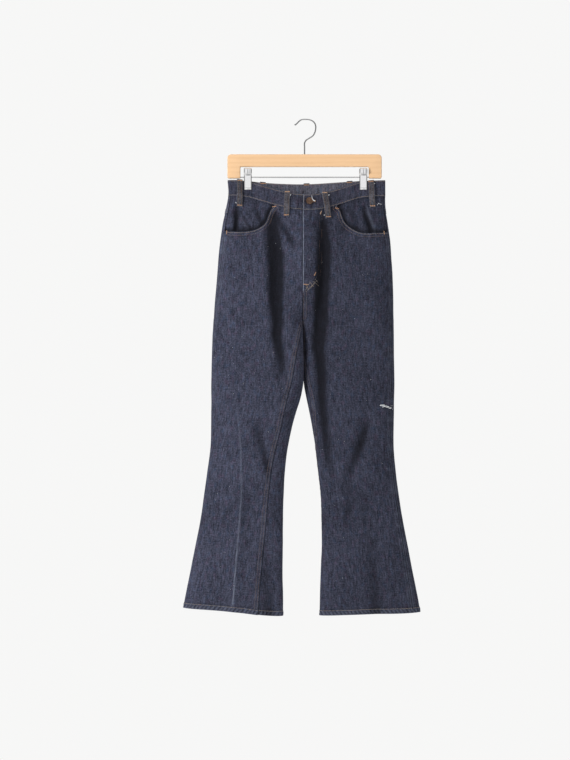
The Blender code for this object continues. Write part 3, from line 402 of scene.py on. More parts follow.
def smooth(at: Values, keys: Sequence[float], values: Sequence[float]) -> Array:
    """Smooth curve through values, held level past both ends.

    Args:
        at: Where to read it.
        keys: Rising places.
        values: The value at each place.

    Returns:
        The curve's values.
    """
    keys = np.asarray(keys, float)
    values = np.asarray(values, float)
    at = np.clip(np.asarray(at, float), keys[0], keys[-1])
    slopes = np.gradient(values, keys)
    place = np.clip(np.searchsorted(keys, at) - 1, 0, len(keys) - 2)
    step = keys[place + 1] - keys[place]
    t = (at - keys[place]) / step
    rise = values[place + 1] - values[place]
    low = slopes[place] * step - rise
    high = rise - slopes[place + 1] * step
    return values[place] + t * rise + t * (1 - t) * ((1 - t) * low + t * high)


def eased(t: Values) -> Array:
    """0 to 1 with level ends."""
    t = np.clip(t, 0.0, 1.0)
    return t * t * (3 - 2 * t)


def fall(distance: Values, run: float) -> Array:
    """1 at a distance of 0, and falling to 0 over a run."""
    return 1 - eased(distance / run)


def rounded(distance: Values, run: Values) -> Array:
    """How far a face has risen from its edge at this distance, from 0 to 1."""
    t = 1 - np.clip(distance / run, 0.0, 1.0)
    return np.sqrt(np.maximum(0.0, 1 - t * t))


def ridge(at: Values, centre: float, half: float) -> Array:
    """A soft bump, 1 at its centre."""
    return np.exp(-(((at - centre) / half) ** 2))


def column(rows: Sequence[Any], name: str, at: Values) -> Array:
    """One named column of a table of falling levels, at any level."""
    keys = [-row.level for row in rows]
    return smooth(-np.asarray(at, float), keys, [getattr(row, name) for row in rows])


def unit(vectors: Array) -> Array:
    """Vectors of length 1."""
    return vectors / np.maximum(np.linalg.norm(vectors, axis=-1, keepdims=True), 1e-9)


def crease_strength(crease: Crease, x: Array, z: Array) -> Array:
    """How strong a crease is at places on its face.

    Args:
        crease: The mark.
        x: Places across.
        z: Their heights.

    Returns:
        Its strength there, 0 away from it.
    """
    points = np.asarray(crease.path, float)
    reach = 3 * crease.width
    low, high = points.min(axis=0) - reach, points.max(axis=0) + reach
    near = (x > low[0]) & (x < high[0]) & (z > low[1]) & (z < high[1])
    strength = np.zeros(np.shape(x))
    if not near.any():
        return strength
    px, pz = x[near], z[near]
    nearest = np.full(px.shape, np.inf)
    found = np.zeros(px.shape)
    for start, end in zip(points[:-1], points[1:]):
        run = end[:2] - start[:2]
        t = np.clip(((px - start[0]) * run[0] + (pz - start[1]) * run[1]) / (run @ run), 0.0, 1.0)
        away = np.hypot(px - start[0] - t * run[0], pz - start[1] - t * run[1])
        closer = away < nearest
        nearest = np.where(closer, away, nearest)
        found = np.where(closer, start[2] + t * (end[2] - start[2]), found)
    strength[near] = found * np.exp(-((nearest / crease.width) ** 2))
    return strength


def clip_hold(x: Array, level: Array) -> Array:
    """1 where a clip holds the cloth flat, falling to 0 around it."""
    nearest = np.minimum(abs(x - CLIP_X[0]), abs(x - CLIP_X[1]))
    across = fall(nearest - CLIP_WIDE / 2 - GRIP_MARGIN, GRIP_EASE)
    return across * fall(BAND_GRIP_FOOT - level, BAND_GRIP_FOOT - BAND_GRIP_FREE)


def sag(x: Array, level: Array, front: Array) -> Array:
    """Drop of the cloth at a level, as the waist hangs between the clips."""
    across = [row.across for row in SAGS]
    drop = np.where(front, smooth(x, across, [row.front for row in SAGS]),
                    smooth(x, across, [row.back for row in SAGS]))
    return drop * eased((level - SAG_FADES) / (BAND_SEAM - SAG_FADES))


def level_of(x: Values, height: Values, front: bool) -> Array:
    """The level that hangs at this height."""
    level = np.asarray(height, float)
    for _ in range(12):
        level = height - sag(np.asarray(x, float), level, front)
    return level


def yoke_level(share: Values) -> Array:
    """Level of the seam under the yoke, from the side to the centre back."""
    return YOKE_SIDE + (YOKE_CENTRE - YOKE_SIDE) * share


class HalfForm:
    """The cloth of one half as it hangs: sections at every millimetre, evenly spaced around."""

    def __init__(self, side: Side) -> None:
        """Works out the sections of this half."""
        self.side = side
        self.levels = np.arange(BAND_TOP + 4.5, LOWEST - 0.5, -1.0)
        points = self._sections(self.levels[:, None])
        steps = np.linalg.norm(np.diff(points, axis=1), axis=2)
        arc = np.concatenate([np.zeros((len(steps), 1)), np.cumsum(steps, axis=1)], axis=1)
        middle = points.shape[1] // 2
        even = np.linspace(0.0, 1.0, BANK_SAMPLES)
        self.length = arc[:, -1]
        self.fold = arc[:, middle]
        self.x = np.stack([np.interp(even * run[-1], run, row[:, 0]) for run, row in zip(arc, points)])
        self.y = np.stack([np.interp(even * run[-1], run, row[:, 1]) for run, row in zip(arc, points)])
        self.inseam = np.empty_like(self.length)
        self.outseam = np.empty_like(self.length)
        self.grain = {face: np.empty_like(self.length) for face in Face}
        insets = self._own(TWISTS, "inseam", self.levels), self._own(TWISTS, "outseam", self.levels)
        for i, (run, row) in enumerate(zip(arc, points)):
            from_inner = abs(row[:middle, 0] - row[0, 0])
            from_outer = abs(row[middle:0:-1, 0] - row[middle, 0])
            self.inseam[i] = self._run(insets[0][i], from_inner, run[:middle])
            outer_run = run[middle] - run[middle:0:-1]
            self.outseam[i] = run[middle] - self._run(insets[1][i], from_outer, outer_run)
            centre = from_inner[-1] / 2
            self.grain[Face.FRONT][i] = np.interp(centre, from_inner, run[:middle])
            self.grain[Face.BACK][i] = np.interp(centre, abs(row[middle:, 0] - row[middle, 0]), run[middle:])

    def _own(self, rows: Sequence[Any], name: str, at: Values) -> Array:
        """A column that a table holds once for each side."""
        return column(rows, ("right_" if self.side is Side.RIGHT else "left_") + name, at)

    @staticmethod
    def _run(inset: float, from_fold: Array, run: Array) -> float:
        """Run of the face, from a fold, over which the outline moves in by the inset."""
        return math.copysign(float(np.interp(abs(inset), from_fold, run)), inset)

    @staticmethod
    def _body_depth(x: Array, level: Array, front: bool) -> Array:
        """Depth of the waist and hips at places across them."""
        depth = column(SECTIONS, "front" if front else "back", level)
        swell = column(SECTIONS, "belly" if front else "seat", level)
        middle = (CLIP_X[0] + CLIP_X[1]) / 2
        reach = (CLIP_X[1] - CLIP_X[0]) / 2 - CLIP_WIDE / 2
        bump = 0.5 + 0.5 * np.cos(math.pi * np.clip((x - middle) / reach, -1, 1))
        hold = clip_hold(x, level)
        return (depth + swell * bump) * (1 - hold) + GRIP * hold

    @staticmethod
    def _rise_turn(level: Array, t: Array) -> Array:
        """0 in the body and 1 in a leg: quick at the rise, t = 0, and slow out to the side."""
        low = np.clip((CROTCH + RISE_TURN - level) / RISE_TURN, 0.0, 1.0)
        at_rise = 1 - np.sqrt(1 - low * low)
        at_side = eased((CROTCH + RISE_TURN - level) / (2 * RISE_TURN))
        return at_rise + (at_side - at_rise) * eased(t / RISE_SHARE)

    def _sections(self, level: Array) -> Array:
        """Points around the half at each level, from the front inner end to the back's.

        Args:
            level: A column of levels.

        Returns:
            (x, y) points, a row for each level.
        """
        outer = self._own(SECTIONS, "side", level)
        inner = self._own(SECTIONS, "inner", level)
        run = column(SECTIONS, "rounding", level)
        lap = column(SECTIONS, "lap", level) * self.side.value
        t = np.linspace(0.0, 1.0, SECTION_STEPS)[None, :]
        turn = self._rise_turn(level, t)
        body_x = inner + (outer - inner) * np.sin(t * math.pi / 2)
        leg_x = inner + (outer - inner) * (1 - np.cos(t * math.pi)) / 2
        from_inner = abs(leg_x - inner)
        leg_rise = rounded(abs(outer - leg_x), run) * rounded(from_inner, run)
        middle = lap * np.exp(-((from_inner / LAP_REACH) ** 2))
        faces = []
        for front in (True, False):
            sign = -1 if front else 1
            body_y = sign * self._body_depth(body_x, level, front) * rounded(abs(outer - body_x), run)
            depth = column(SECTIONS, "front" if front else "back", level)
            leg_y = middle + sign * depth * leg_rise
            faces.append(np.stack([body_x + (leg_x - body_x) * turn,
                                   body_y + (leg_y - body_y) * turn], axis=-1))
        return np.concatenate([faces[0], faces[1][:, -2::-1]], axis=1)

    def _look(self, table: Array, level: Values) -> Array:
        """A value of the sections at any level."""
        return np.interp(-np.asarray(level, float), -self.levels, table)

    def length_at(self, level: Values) -> Array:
        """Whole run around the half at a level."""
        return self._look(self.length, level)

    def fold_at(self, level: Values) -> Array:
        """Arc of the side fold, where the front face ends."""
        return self._look(self.fold, level)

    def inseam_at(self, level: Values) -> Array:
        """Arc of the inseam, or of the front centre."""
        return self._look(self.inseam, level)

    def outseam_at(self, level: Values) -> Array:
        """Arc of the side seam."""
        return self._look(self.outseam, level)

    def back_end_at(self, level: Values) -> Array:
        """Arc at which the back ends: the centre back, then the inseam."""
        return self.length_at(level) + self.inseam_at(level)

    def across_grain(self, face: Face, level: Array, arc: Array) -> Array:
        """How far a point lies across the warp, from the middle of a leg's front or back."""
        return (arc - self._look(self.grain[face], level)) * self.side.value

    def raw(self, level: Array, arc: Array) -> tuple[Array, Array, Array]:
        """(x, y) on the plain section, and whether that is on the front face."""
        length = self.length_at(level)
        part = arc / length
        part = np.where(level <= CROTCH, np.mod(part, 1.0), np.clip(part, 0.0, 1.0))
        row = np.clip(self.levels[0] - level, 0, len(self.levels) - 1.000001)
        top = row.astype(int)
        down = row - top
        place = np.clip(part * (BANK_SAMPLES - 1), 0, BANK_SAMPLES - 1.000001)
        start = place.astype(int)
        on = place - start
        mixed = []
        for table in (self.x, self.y):
            upper = table[top, start] * (1 - on) + table[top, start + 1] * on
            lower = table[top + 1, start] * (1 - on) + table[top + 1, start + 1] * on
            mixed.append(upper * (1 - down) + lower * down)
        return mixed[0], mixed[1], part * length < self.fold_at(level)

    def hung(self, level: Array, arc: Array) -> tuple[Array, Array, Array]:
        """(across, height) as it hangs, and whether that is on the front face."""
        x, _, front = self.raw(level, arc)
        return x, level + sag(x, level, front), front

    def room(self, level: Array, x: Array) -> Array:
        """1 on the open faces, falling to 0 at the folds that bound them."""
        outer = self._own(SECTIONS, "side", level)
        inner = self._own(SECTIONS, "inner", level)
        at_outer = eased((abs(outer - x) - FOLD_CLEAR[0]) / FOLD_CLEAR[1])
        at_inner = eased((abs(inner - x) - INNER_CLEAR[0]) / INNER_CLEAR[1])
        below = eased((CROTCH + CLEAR_BLEND / 2 - level) / CLEAR_BLEND)
        return at_outer * (1 - below * (1 - at_inner))

    def surface(self, level: Values, arc: Values) -> tuple[Array, Array]:
        """The outer face of the cloth.

        Args:
            level: Levels.
            arc: Arcs.

        Returns:
            Points, and how deep in a crease each one lies.
        """
        level, arc = np.broadcast_arrays(np.asarray(level, float), np.asarray(arc, float))
        x, y, front = self.raw(level, arc)
        z = level + sag(x, level, front)
        depth = np.zeros(x.shape)
        for fold in FOLDS + FINE_FOLDS:
            on_face = front if fold.face is Face.FRONT else ~front
            depth = depth + np.where(on_face, crease_strength(fold, x, z), 0.0)
        depth = depth * self.room(level, x)
        return np.stack([x, y + np.where(front, depth, -depth), z], axis=-1), depth

    def frame(self, level: Values, arc: Values) -> tuple[Array, Array, Array]:
        """Points of the outer face, its normals, and how deep in a crease each point lies."""
        level, arc = np.broadcast_arrays(np.asarray(level, float), np.asarray(arc, float))
        place, depth = self.surface(level, arc)
        along = self.surface(level, arc + NORMAL_STEP)[0] - self.surface(level, arc - NORMAL_STEP)[0]
        down = self.surface(level - NORMAL_STEP, arc)[0] - self.surface(level + NORMAL_STEP, arc)[0]
        return place, unit(np.cross(along, down) * -self.side.value), depth

    def arc_at(self, level: Values, x: Values, front: bool) -> Array:
        """How far around the half places across the garment lie."""
        shares = np.linspace(0.0, 1.0, 601)
        found = []
        for one, across in zip(*np.broadcast_arrays(np.atleast_1d(level), np.atleast_1d(x))):
            run = shares * self.length_at(one)
            xs, _, on_front = self.raw(np.full(601, float(one)), run)
            chosen = on_front if front else ~on_front
            order = np.argsort(xs[chosen])
            found.append(np.interp(across, xs[chosen][order], run[chosen][order]))
        return np.array(found)

    def find(self, x: Values, z: Values, front: bool = True) -> tuple[Array, Array]:
        """(levels, arcs) of places that are given across and by their height."""
        x, z = np.atleast_1d(x), np.atleast_1d(z)
        level = level_of(x, z, front)
        return level, self.arc_at(level, x, front)

    def flat_path(self, points: Sequence[tuple[float, float]], front: bool) -> Array:
        """(arc, level) points of a line that is given as (across, height) points."""
        across, height = np.array(points, float).T
        level, arc = self.find(across, height, front)
        return line_of(arc, level)


def line_of(arc: Values, level: Values) -> Array:
    """(arc, level) points of a line on the flat cloth."""
    return np.stack(np.broadcast_arrays(arc, level), axis=1)


def finer(path: Array, step: float) -> Array:
    """The same line with smooth points this far apart."""
    run = np.concatenate([[0.0], np.cumsum(np.linalg.norm(np.diff(path, axis=0), axis=1))])
    even = np.linspace(0.0, run[-1], max(2, int(run[-1] / step) + 1))
    return np.stack([smooth(even, run, path[:, k]) for k in range(path.shape[1])], axis=1)


def parallel(path: Array, distance: float) -> Array:
    """A line beside another, to the left of its run where distance is above 0."""
    along = unit(np.gradient(path, axis=0))
    return path + np.stack([-along[:, 1], along[:, 0]], axis=1) * distance


def distance_to(path: Array, arc: Array, level: Array) -> Array:
    """How far points of the flat cloth lie from a line on it."""
    nearest = np.full(np.shape(arc), np.inf)
    for start, end in zip(path[:-1], path[1:]):
        run = end - start
        t = np.clip(((arc - start[0]) * run[0] + (level - start[1]) * run[1]) / (run @ run), 0, 1)
        nearest = np.minimum(nearest, np.hypot(arc - start[0] - t * run[0], level - start[1] - t * run[1]))
    return nearest


@dataclass(frozen=True)
class Ripple:
    """Seeded, smooth unevenness of the cloth."""

    seed: int
    across: float  # spacing of its bumps around the section
    down: float  # their spacing along the leg
    high: float

    def at(self, arc: Array, level: Array) -> Array:
        """Height of the ripple at flat places."""
        table = np.random.default_rng(self.seed).uniform(-1.0, 1.0, (64, 64))
        u, v = arc / self.across, level / self.down
        i, j = np.floor(u).astype(int), np.floor(v).astype(int)
        s, t = eased(u - i), eased(v - j)
        corners = [table[(i + a) % 64, (j + b) % 64] for a, b in ((0, 0), (1, 0), (0, 1), (1, 1))]
        top = corners[0] * (1 - s) + corners[1] * s
        foot = corners[2] * (1 - s) + corners[3] * s
        return (top * (1 - t) + foot * t) * self.high


RIPPLES = (Ripple(3, 47.0, 130.0, 1.1), Ripple(5, 22.0, 64.0, 0.5), Ripple(8, 9.0, 24.0, 0.16))


@dataclass
class Relief:
    """What the sewing and wear add to a stretch of cloth, and the painted shade of its creases, grooves and
    edges.
    """

    out: Array  # how far it stands off the plain form, in millimetres
    wear: Array  # how whitened it is, from 0 to 1
    shade: Array  # painted shade in its creases and grooves and under its edges, from 0 to 1

    @classmethod
    def plain(cls, level: Array) -> "Relief":
        """No relief at all."""
        return cls(np.zeros(level.shape), np.zeros(level.shape), np.zeros(level.shape))

    def add(self, out: Values = 0.0, wear: Values = 0.0, shade: Values = 0.0) -> None:
        """Adds to each of the three."""
        self.out = self.out + out
        self.wear = self.wear + wear
        self.shade = self.shade + shade


@dataclass(frozen=True)
class LappedSeam:
    """The upper edge of a felled or lapped seam: a flat raised strip sewn down in two rows."""

    wide: float = 10.5
    high: float = 0.9
    rows: tuple[float, ...] = (3.2, 9.0)  # distances of the sewn rows from the edge
    pucker: float = 0.3  # height of the puckers between the stitches
    pitch: float = 9.5  # spacing of the puckers
    rub: float = 0.35  # how whitened its edge is

    def press(self, relief: Relief, distance: Array, along: Array, amount: Values = 1.0) -> None:
        """Raises the strip.

        Args:
            relief: What it is added to.
            distance: How far each point lies from the edge.
            along: How far along the seam it lies.
            amount: 1 where the seam runs, and 0 past its ends.
        """
        strip = fall(distance - self.wide, 1.8)
        wave = Ripple(21, self.pitch / 1.6, 400.0, 1.0).at(along, distance * 3.0)
        out = self.high * strip - 0.45 * fall(distance, 0.9)
        out = out + self.pucker * wave * strip
        for row in self.rows:
            out = out - 0.24 * ridge(distance, row, 0.8)
        edge = fall(distance, 1.6)
        wear = edge * (self.rub + 0.2 * wave) + 0.16 * np.clip(wave, 0, 1) * strip
        # The shade term is a painted shadow along the foot of the raised strip.
        relief.add(out * amount, wear * amount, 0.25 * ridge(distance, self.wide + 1.6, 1.2) * amount)

    @staticmethod
    def tuck(relief: Relief, distance: Array, amount: Values = 1.0) -> None:
        """Lowers the neighbour that passes under the strip's edge, and paints the shadow that the edge casts
        on it.
        """
        relief.add(-0.6 * fall(distance, 2.8) * amount, 0.0,
                   fall(distance - 0.6, 2.4) * amount)


@dataclass(frozen=True)
class OpenSeam:
    """A plain seam pressed open, whose allowances show as faint tracks."""

    allowance: float = 9.5
    track: float = 0.4

    def press(self, relief: Relief, distance: Array, along: Array) -> None:
        """Adds the groove and the track on one side of the seam, with painted shade in the groove and beside
        the track.
        """
        groove = fall(distance, 1.7)
        track = fall(distance - self.allowance, 1.2)
        wave = Ripple(33, 9.0, 300.0, 1.0).at(along, distance * 2.0)
        relief.add(-1.0 * groove + self.track * track * (1 + 0.3 * wave) - 0.15 * ridge(distance, 3.0, 1.0),
                   0.10 * track * np.clip(wave + 0.3, 0, 1) + 0.12 * ridge(distance, self.allowance, 1.0)
                   + (0.26 + 0.1 * wave) * ridge(distance, 2.2, 0.9),
                   0.7 * groove + 0.22 * ridge(distance, self.allowance + 1.5, 1.2))


@dataclass(frozen=True)
class Hem:
    """A turned-up hem with one sewn row and slanting ropes."""

    tall: float = HEM_TALL
    rope: float = 0.85  # height of the ropes
    pitch: float = 9.4  # their spacing

    def press(self, relief: Relief, above: Array, arc: Array) -> None:
        """Adds the hem, by each point's height above the edge, with painted shade between its ropes and above
        its top.
        """
        band = fall(above - self.tall - 1.0, 1.5)
        wander = Ripple(41, 31.0, 100.0, 2.2).at(arc, above * 0.0)
        wave = np.sin(2 * math.pi * (arc + 0.75 * above + wander) / self.pitch)
        swing = np.sin(math.pi * np.clip(above / self.tall, 0, 1)) ** 0.6
        relief.add(0.55 * band + self.rope * wave * swing * band
                   - 0.35 * ridge(above, self.tall, 0.9) - 0.4 * fall(above, 0.9),
                   0.32 * np.clip(wave, 0, 1) * band * swing + 0.55 * fall(above, 1.8)
                   + 0.08 * band,
                   0.55 * np.clip(-wave, 0, 1) * band * swing + 0.35 * ridge(above, self.tall + 2.0, 1.4))


class Tone(Enum):
    """Which finish a face of the cloth takes."""

    RIGHT_SIDE = 0
    WRONG_SIDE = 1


def mesh_object(name: str, points: list[Array], faces: list, finishes: Sequence[bpy.types.Material]
                ) -> bpy.types.Object:
    """A smooth object of points in millimetres and faces, with its materials."""
    mesh = bpy.data.meshes.new(name)
    mesh.from_pydata((np.concatenate(points) * MM).tolist(), [], faces)
    mesh.shade_smooth()
    for finish in finishes:
        mesh.materials.append(finish)
    mesh.update()
    made = bpy.data.objects.new(name, mesh)
    bpy.context.scene.collection.objects.link(made)
    return made


class ClothMesh:
    """Walls of cloth gathered into one mesh, with their flat places, wear and shade."""

    def __init__(self) -> None:
        """Starts with no wall."""
        self.points: list[Array] = []
        self.faces: list[Array] = []
        self.tones: list[Array] = []
        self.flat: list[Array] = []
        self.wear: list[Array] = []
        self.shade: list[Array] = []
        self.count = 0

    def wall(self, outer: Array, inner: Array, flat: Array, relief: Relief) -> None:
        """Adds a closed wall between two grids of points that match row by row.

        Args:
            outer: Rows of points on the right side of the cloth, in millimetres.
            inner: The same on its wrong side.
            flat: (across, down) of each point on the flat cloth.
            relief: Its wear and shade.
        """
        rows, columns = outer.shape[:2]
        size = rows * columns
        index = np.arange(size).reshape(rows, columns)
        quads = np.stack([index[:-1, :-1], index[:-1, 1:], index[1:, 1:], index[1:, :-1]], axis=-1)
        quads = quads.reshape(-1, 4)
        rim = np.concatenate([index[0, :-1], index[:-1, -1], index[-1, :0:-1], index[:0:-1, 0]])
        after = np.roll(rim, -1)
        edge = np.stack([after, rim, rim + size, after + size], axis=-1)
        faces = np.concatenate([quads, quads[:, ::-1] + size, edge])
        i, j = rows // 2, columns // 2
        across = outer[i, j] - outer[i, j - 1]
        down = outer[i, j] - outer[i - 1, j]
        if np.cross(across, down) @ (outer[i, j] - inner[i, j]) < 0:
            faces = faces[:, ::-1]
        tones = np.full(len(faces), Tone.RIGHT_SIDE.value)
        tones[len(quads):2 * len(quads)] = Tone.WRONG_SIDE.value
        self.points += [outer.reshape(-1, 3), inner.reshape(-1, 3)]
        self.faces.append(faces + self.count)
        self.tones.append(tones)
        self.flat += [flat.reshape(-1, 2)] * 2
        self.wear += [relief.wear.reshape(-1), np.zeros(size)]
        self.shade += [relief.shade.reshape(-1), np.zeros(size)]
        self.count += 2 * size

    def build(self, name: str, finishes: Sequence[bpy.types.Material]) -> bpy.types.Object:
        """Makes the object.

        Args:
            name: Its name.
            finishes: Its materials: the right side, then the wrong side.

        Returns:
            The new object.
        """
        made = mesh_object(name, self.points, np.concatenate(self.faces).tolist(), finishes)
        mesh = made.data
        flat = np.concatenate(self.flat) * MM
        corners = np.empty(len(mesh.loops), np.int32)
        mesh.loops.foreach_get("vertex_index", corners)
        mesh.uv_layers.new(name="cloth").data.foreach_set("uv", flat[corners].ravel())
        for label, values in (("wear", self.wear), ("shade", self.shade)):
            layer = mesh.attributes.new(label, "FLOAT", "POINT")
            layer.data.foreach_set("value", np.clip(np.concatenate(values), 0.0, 1.0))
        mesh.polygons.foreach_set("material_index", np.concatenate(self.tones).astype(np.int32))
        mesh.update()
        return made


class Wire:
    """A socket in a material, with arithmetic that adds Math nodes."""

    def __init__(self, board: "Board", socket: bpy.types.NodeSocket) -> None:
        """Keeps the socket and the board that it is on."""
        self.board = board
        self.socket = socket

    def _math(self, operation: str, first: Any, second: Any = 0.0, third: Any = 0.0) -> "Wire":
        """One Math node."""
        return self.board.node("ShaderNodeMath", {"operation": operation},
                               {0: first, 1: second, 2: third})

    def __add__(self, other: Any) -> "Wire":
        """Sum."""
        return self._math("ADD", self, other)

    __radd__ = __add__

    def __sub__(self, other: Any) -> "Wire":
        """Difference."""
        return self._math("SUBTRACT", self, other)

    def __rsub__(self, other: Any) -> "Wire":
        """Difference from a number."""
        return self._math("SUBTRACT", other, self)

    def __mul__(self, other: Any) -> "Wire":
        """Product."""
        return self._math("MULTIPLY", self, other)

    __rmul__ = __mul__

    def __truediv__(self, other: Any) -> "Wire":
        """Quotient."""
        return self._math("DIVIDE", self, other)

    def size(self) -> "Wire":
        """Its value without its sign."""
        return self._math("ABSOLUTE", self)

    def sine(self) -> "Wire":
        """Its sine."""
        return self._math("SINE", self)

    def power(self, exponent: float) -> "Wire":
        """Raised to a power."""
        return self._math("POWER", self, exponent)

    def step(self, low: float, high: float) -> "Wire":
        """0 below low, 1 above high, and smooth between."""
        return self.board.node("ShaderNodeMapRange", {"interpolation_type": "SMOOTHSTEP"},
                               {"Value": self, "From Min": low, "From Max": high})

    def limited(self) -> "Wire":
        """Kept from 0 to 1."""
        return self.board.node("ShaderNodeClamp", {}, {0: self})


class Board:
    """The nodes of one material, or of the surround."""

    def __init__(self, name: str, world: Optional[bpy.types.World] = None) -> None:
        """Starts with no node."""
        self.material = world or bpy.data.materials.new(name)
        self.material.use_nodes = True
        self.tree = self.material.node_tree
        self.tree.nodes.clear()

    def add(self, kind: str, settings: dict[str, Any], values: dict[Any, Any]) -> bpy.types.Node:
        """Adds a node.

        Args:
            kind: Its type.
            settings: Its own settings, which are set first.
            values: A value or a wire for each of its inputs.

        Returns:
            The node.
        """
        made = self.tree.nodes.new(kind)
        for name, value in settings.items():
            setattr(made, name, value)
        for key, value in values.items():
            if isinstance(value, Wire):
                self.tree.links.new(value.socket, made.inputs[key])
            else:
                made.inputs[key].default_value = value
        return made

    def node(self, kind: str, settings: Optional[dict[str, Any]] = None,
             values: Optional[dict[Any, Any]] = None, output: Union[int, str] = 0) -> Wire:
        """Adds a node and returns one of its outputs."""
        return Wire(self, self.add(kind, settings or {}, values or {}).outputs[output])

    def mix(self, amount: Any, first: Any, second: Any, blend: str = "MIX") -> Wire:
        """Mixes two colours."""
        settings = {"data_type": "RGBA", "blend_type": blend, "clamp_factor": True}
        values = {0: amount, 6: self._colour(first), 7: self._colour(second)}
        return self.node("ShaderNodeMix", settings, values, output=2)

    @staticmethod
    def _colour(value: Any) -> Any:
        """A colour with its fourth number, or a wire as it is."""
        return value if isinstance(value, Wire) else (*value, 1.0)

    def scaled(self, vector: Wire, factors: tuple[float, float, float]) -> Wire:
        """A vector times a factor along each axis."""
        return self.node("ShaderNodeVectorMath", {"operation": "MULTIPLY"}, {0: vector, 1: factors})

    def noise(self, vector: Wire, factors: tuple[float, float, float], detail: float = 2.0) -> Wire:
        """Noise with so many lumps to the metre along each axis, about 0 and mostly within 1."""
        values = {"Vector": self.scaled(vector, factors), "Scale": 1.0, "Detail": detail,
                  "Roughness": 0.55}
        return (self.node("ShaderNodeTexNoise", {}, values) - 0.5) * 4.0

    def place(self) -> Wire:
        """Where a point lies in the object's own metres."""
        return self.node("ShaderNodeTexCoord", output="Object")

    def attribute(self, name: str) -> Wire:
        """A number that the mesh holds at each point."""
        return self.node("ShaderNodeAttribute", {"attribute_name": name}, {}, output=2)

    def split(self, vector: Wire) -> tuple[Wire, Wire, Wire]:
        """The three parts of a vector."""
        made = self.add("ShaderNodeSeparateXYZ", {}, {0: vector})
        return Wire(self, made.outputs[0]), Wire(self, made.outputs[1]), Wire(self, made.outputs[2])

    def bump(self, height: Wire, distance: float, strength: float) -> Wire:
        """A surface roughened by a height from 0 to 1."""
        return self.node("ShaderNodeBump", {},
                         {"Height": height, "Distance": distance, "Strength": strength})

    def finish(self, values: dict[str, Any]) -> bpy.types.Material:
        """Adds the surface shader and the output.

        Args:
            values: What goes into the shader's sockets.

        Returns:
            The material.
        """
        shader = self.node("ShaderNodeBsdfPrincipled", {}, values)
        self.add("ShaderNodeOutputMaterial", {}, {"Surface": shader})
        return self.material


@dataclass(frozen=True)
class DenimFinish:
    """Raw indigo denim: dyed warp over a pale weft, slubs, soft fading and lint, darkened by the painted
    shade that the mesh holds.
    """

    dye: tuple[float, float, float] = (0.0480, 0.0515, 0.0790)
    worn: tuple[float, float, float] = (0.215, 0.240, 0.315)
    # colour of the painted shade in creases, grooves and under edges
    painted_shade: tuple[float, float, float] = (0.0085, 0.0085, 0.0115)
    contrast: float = 1.0  # how uneven the yarn is
    twill: float = 0.16  # how strongly the diagonal lines show
    roll: int = 1  # -1 turns the diagonal the other way

    def make(self, name: str) -> bpy.types.Material:
        """Makes the material of one piece."""
        board = Board(name)
        flat = board.node("ShaderNodeUVMap", {"uv_map": "cloth"})
        across, down, _ = board.split(flat)
        wale = ((across * 0.866 - down * (0.5 * self.roll)) * (2 * math.pi / 0.00088)).sine()
        warp = board.noise(flat, (950.0, 46.0, 1.0))
        slub = board.noise(flat, (250.0, 38.0, 1.0))
        weft = board.noise(flat, (60.0, 420.0, 1.0))
        fleck = board.noise(flat, (330.0, 270.0, 1.0), 3.0)
        mottle = board.noise(flat, (90.0, 60.0, 1.0), 3.0)
        cloud = board.noise(flat, (12.0, 8.0, 1.0))
        tone = warp * 0.42 + slub * 0.62 + weft * 0.34 + fleck * 0.95 + mottle * 0.36 + cloud * 0.30
        tone = ((tone * self.contrast + wale * self.twill) * 0.36 + 0.5).limited().power(1.35)
        dark = tuple(value * 0.30 for value in self.dye)
        light = tuple(value * 2.36 for value in self.dye)
        colour = board.mix(tone, dark, light)
        purple = board.noise(flat, (90.0, 52.0, 1.0)).step(0.0, 0.9)
        blue = board.noise(board.scaled(flat, (-1.0, 1.0, 1.0)), (110.0, 60.0, 1.0)).step(0.0, 0.9)
        colour = board.mix(purple * 0.7, colour, (1.22, 0.92, 0.98), "MULTIPLY")
        colour = board.mix(blue * 0.7, colour, (0.80, 1.02, 1.16), "MULTIPLY")
        wear = board.attribute("wear")
        patchy = (board.noise(flat, (210.0, 150.0, 1.0)) * 0.35 + 1.0 + wale * 0.12)
        colour = board.mix((wear * patchy).limited() * 0.8, colour, self.worn)
        shade = board.attribute("shade")
        # Painted shade: the mesh's shade attribute darkens the colour towards the shade colour.
        colour = board.mix(shade.limited() * 0.89, colour, self.painted_shade)
        lint = board.noise(flat, (380.0, 320.0, 1.0), 0.0).step(1.62, 1.8)
        colour = board.mix(lint * 0.4, colour, (0.34, 0.36, 0.42))
        height = wale * 0.22 + warp * 0.16 + weft * 0.10 + 0.5
        rough = (tone * -0.10 + 0.96).limited()
        return board.finish({
            "Base Color": colour, "Roughness": rough, "Normal": board.bump(height, 0.0005, 0.55),
            "Sheen Weight": 0.10, "Sheen Roughness": 0.45, "Sheen Tint": (0.62, 0.68, 0.85, 1.0),
            "Specular IOR Level": 0.2})


@dataclass(frozen=True)
class ThreadFinish:
    """Twisted sewing thread."""

    colour: tuple[float, float, float] = (0.42, 0.27, 0.16)
    faded: tuple[float, float, float] = (0.42, 0.38, 0.33)
    fade: float = 0.6

    def make(self, name: str) -> bpy.types.Material:
        """Makes the material."""
        board = Board(name)
        place = board.place()
        drift = board.noise(place, (28.0, 28.0, 28.0)) * 0.45 + self.fade
        fibre = board.noise(place, (900.0, 900.0, 2600.0), 1.0)
        colour = board.mix(drift.limited(), self.colour, self.faded)
        colour = board.mix(fibre.step(-0.2, 1.4) * 0.5, colour, (0.55, 0.5, 0.5), "MULTIPLY")
        return board.finish({
            "Base Color": colour, "Roughness": 0.7, "Sheen Weight": 0.2,
            "Normal": board.bump(fibre * 0.25 + 0.5, 0.0002, 0.5), "Specular IOR Level": 0.3})


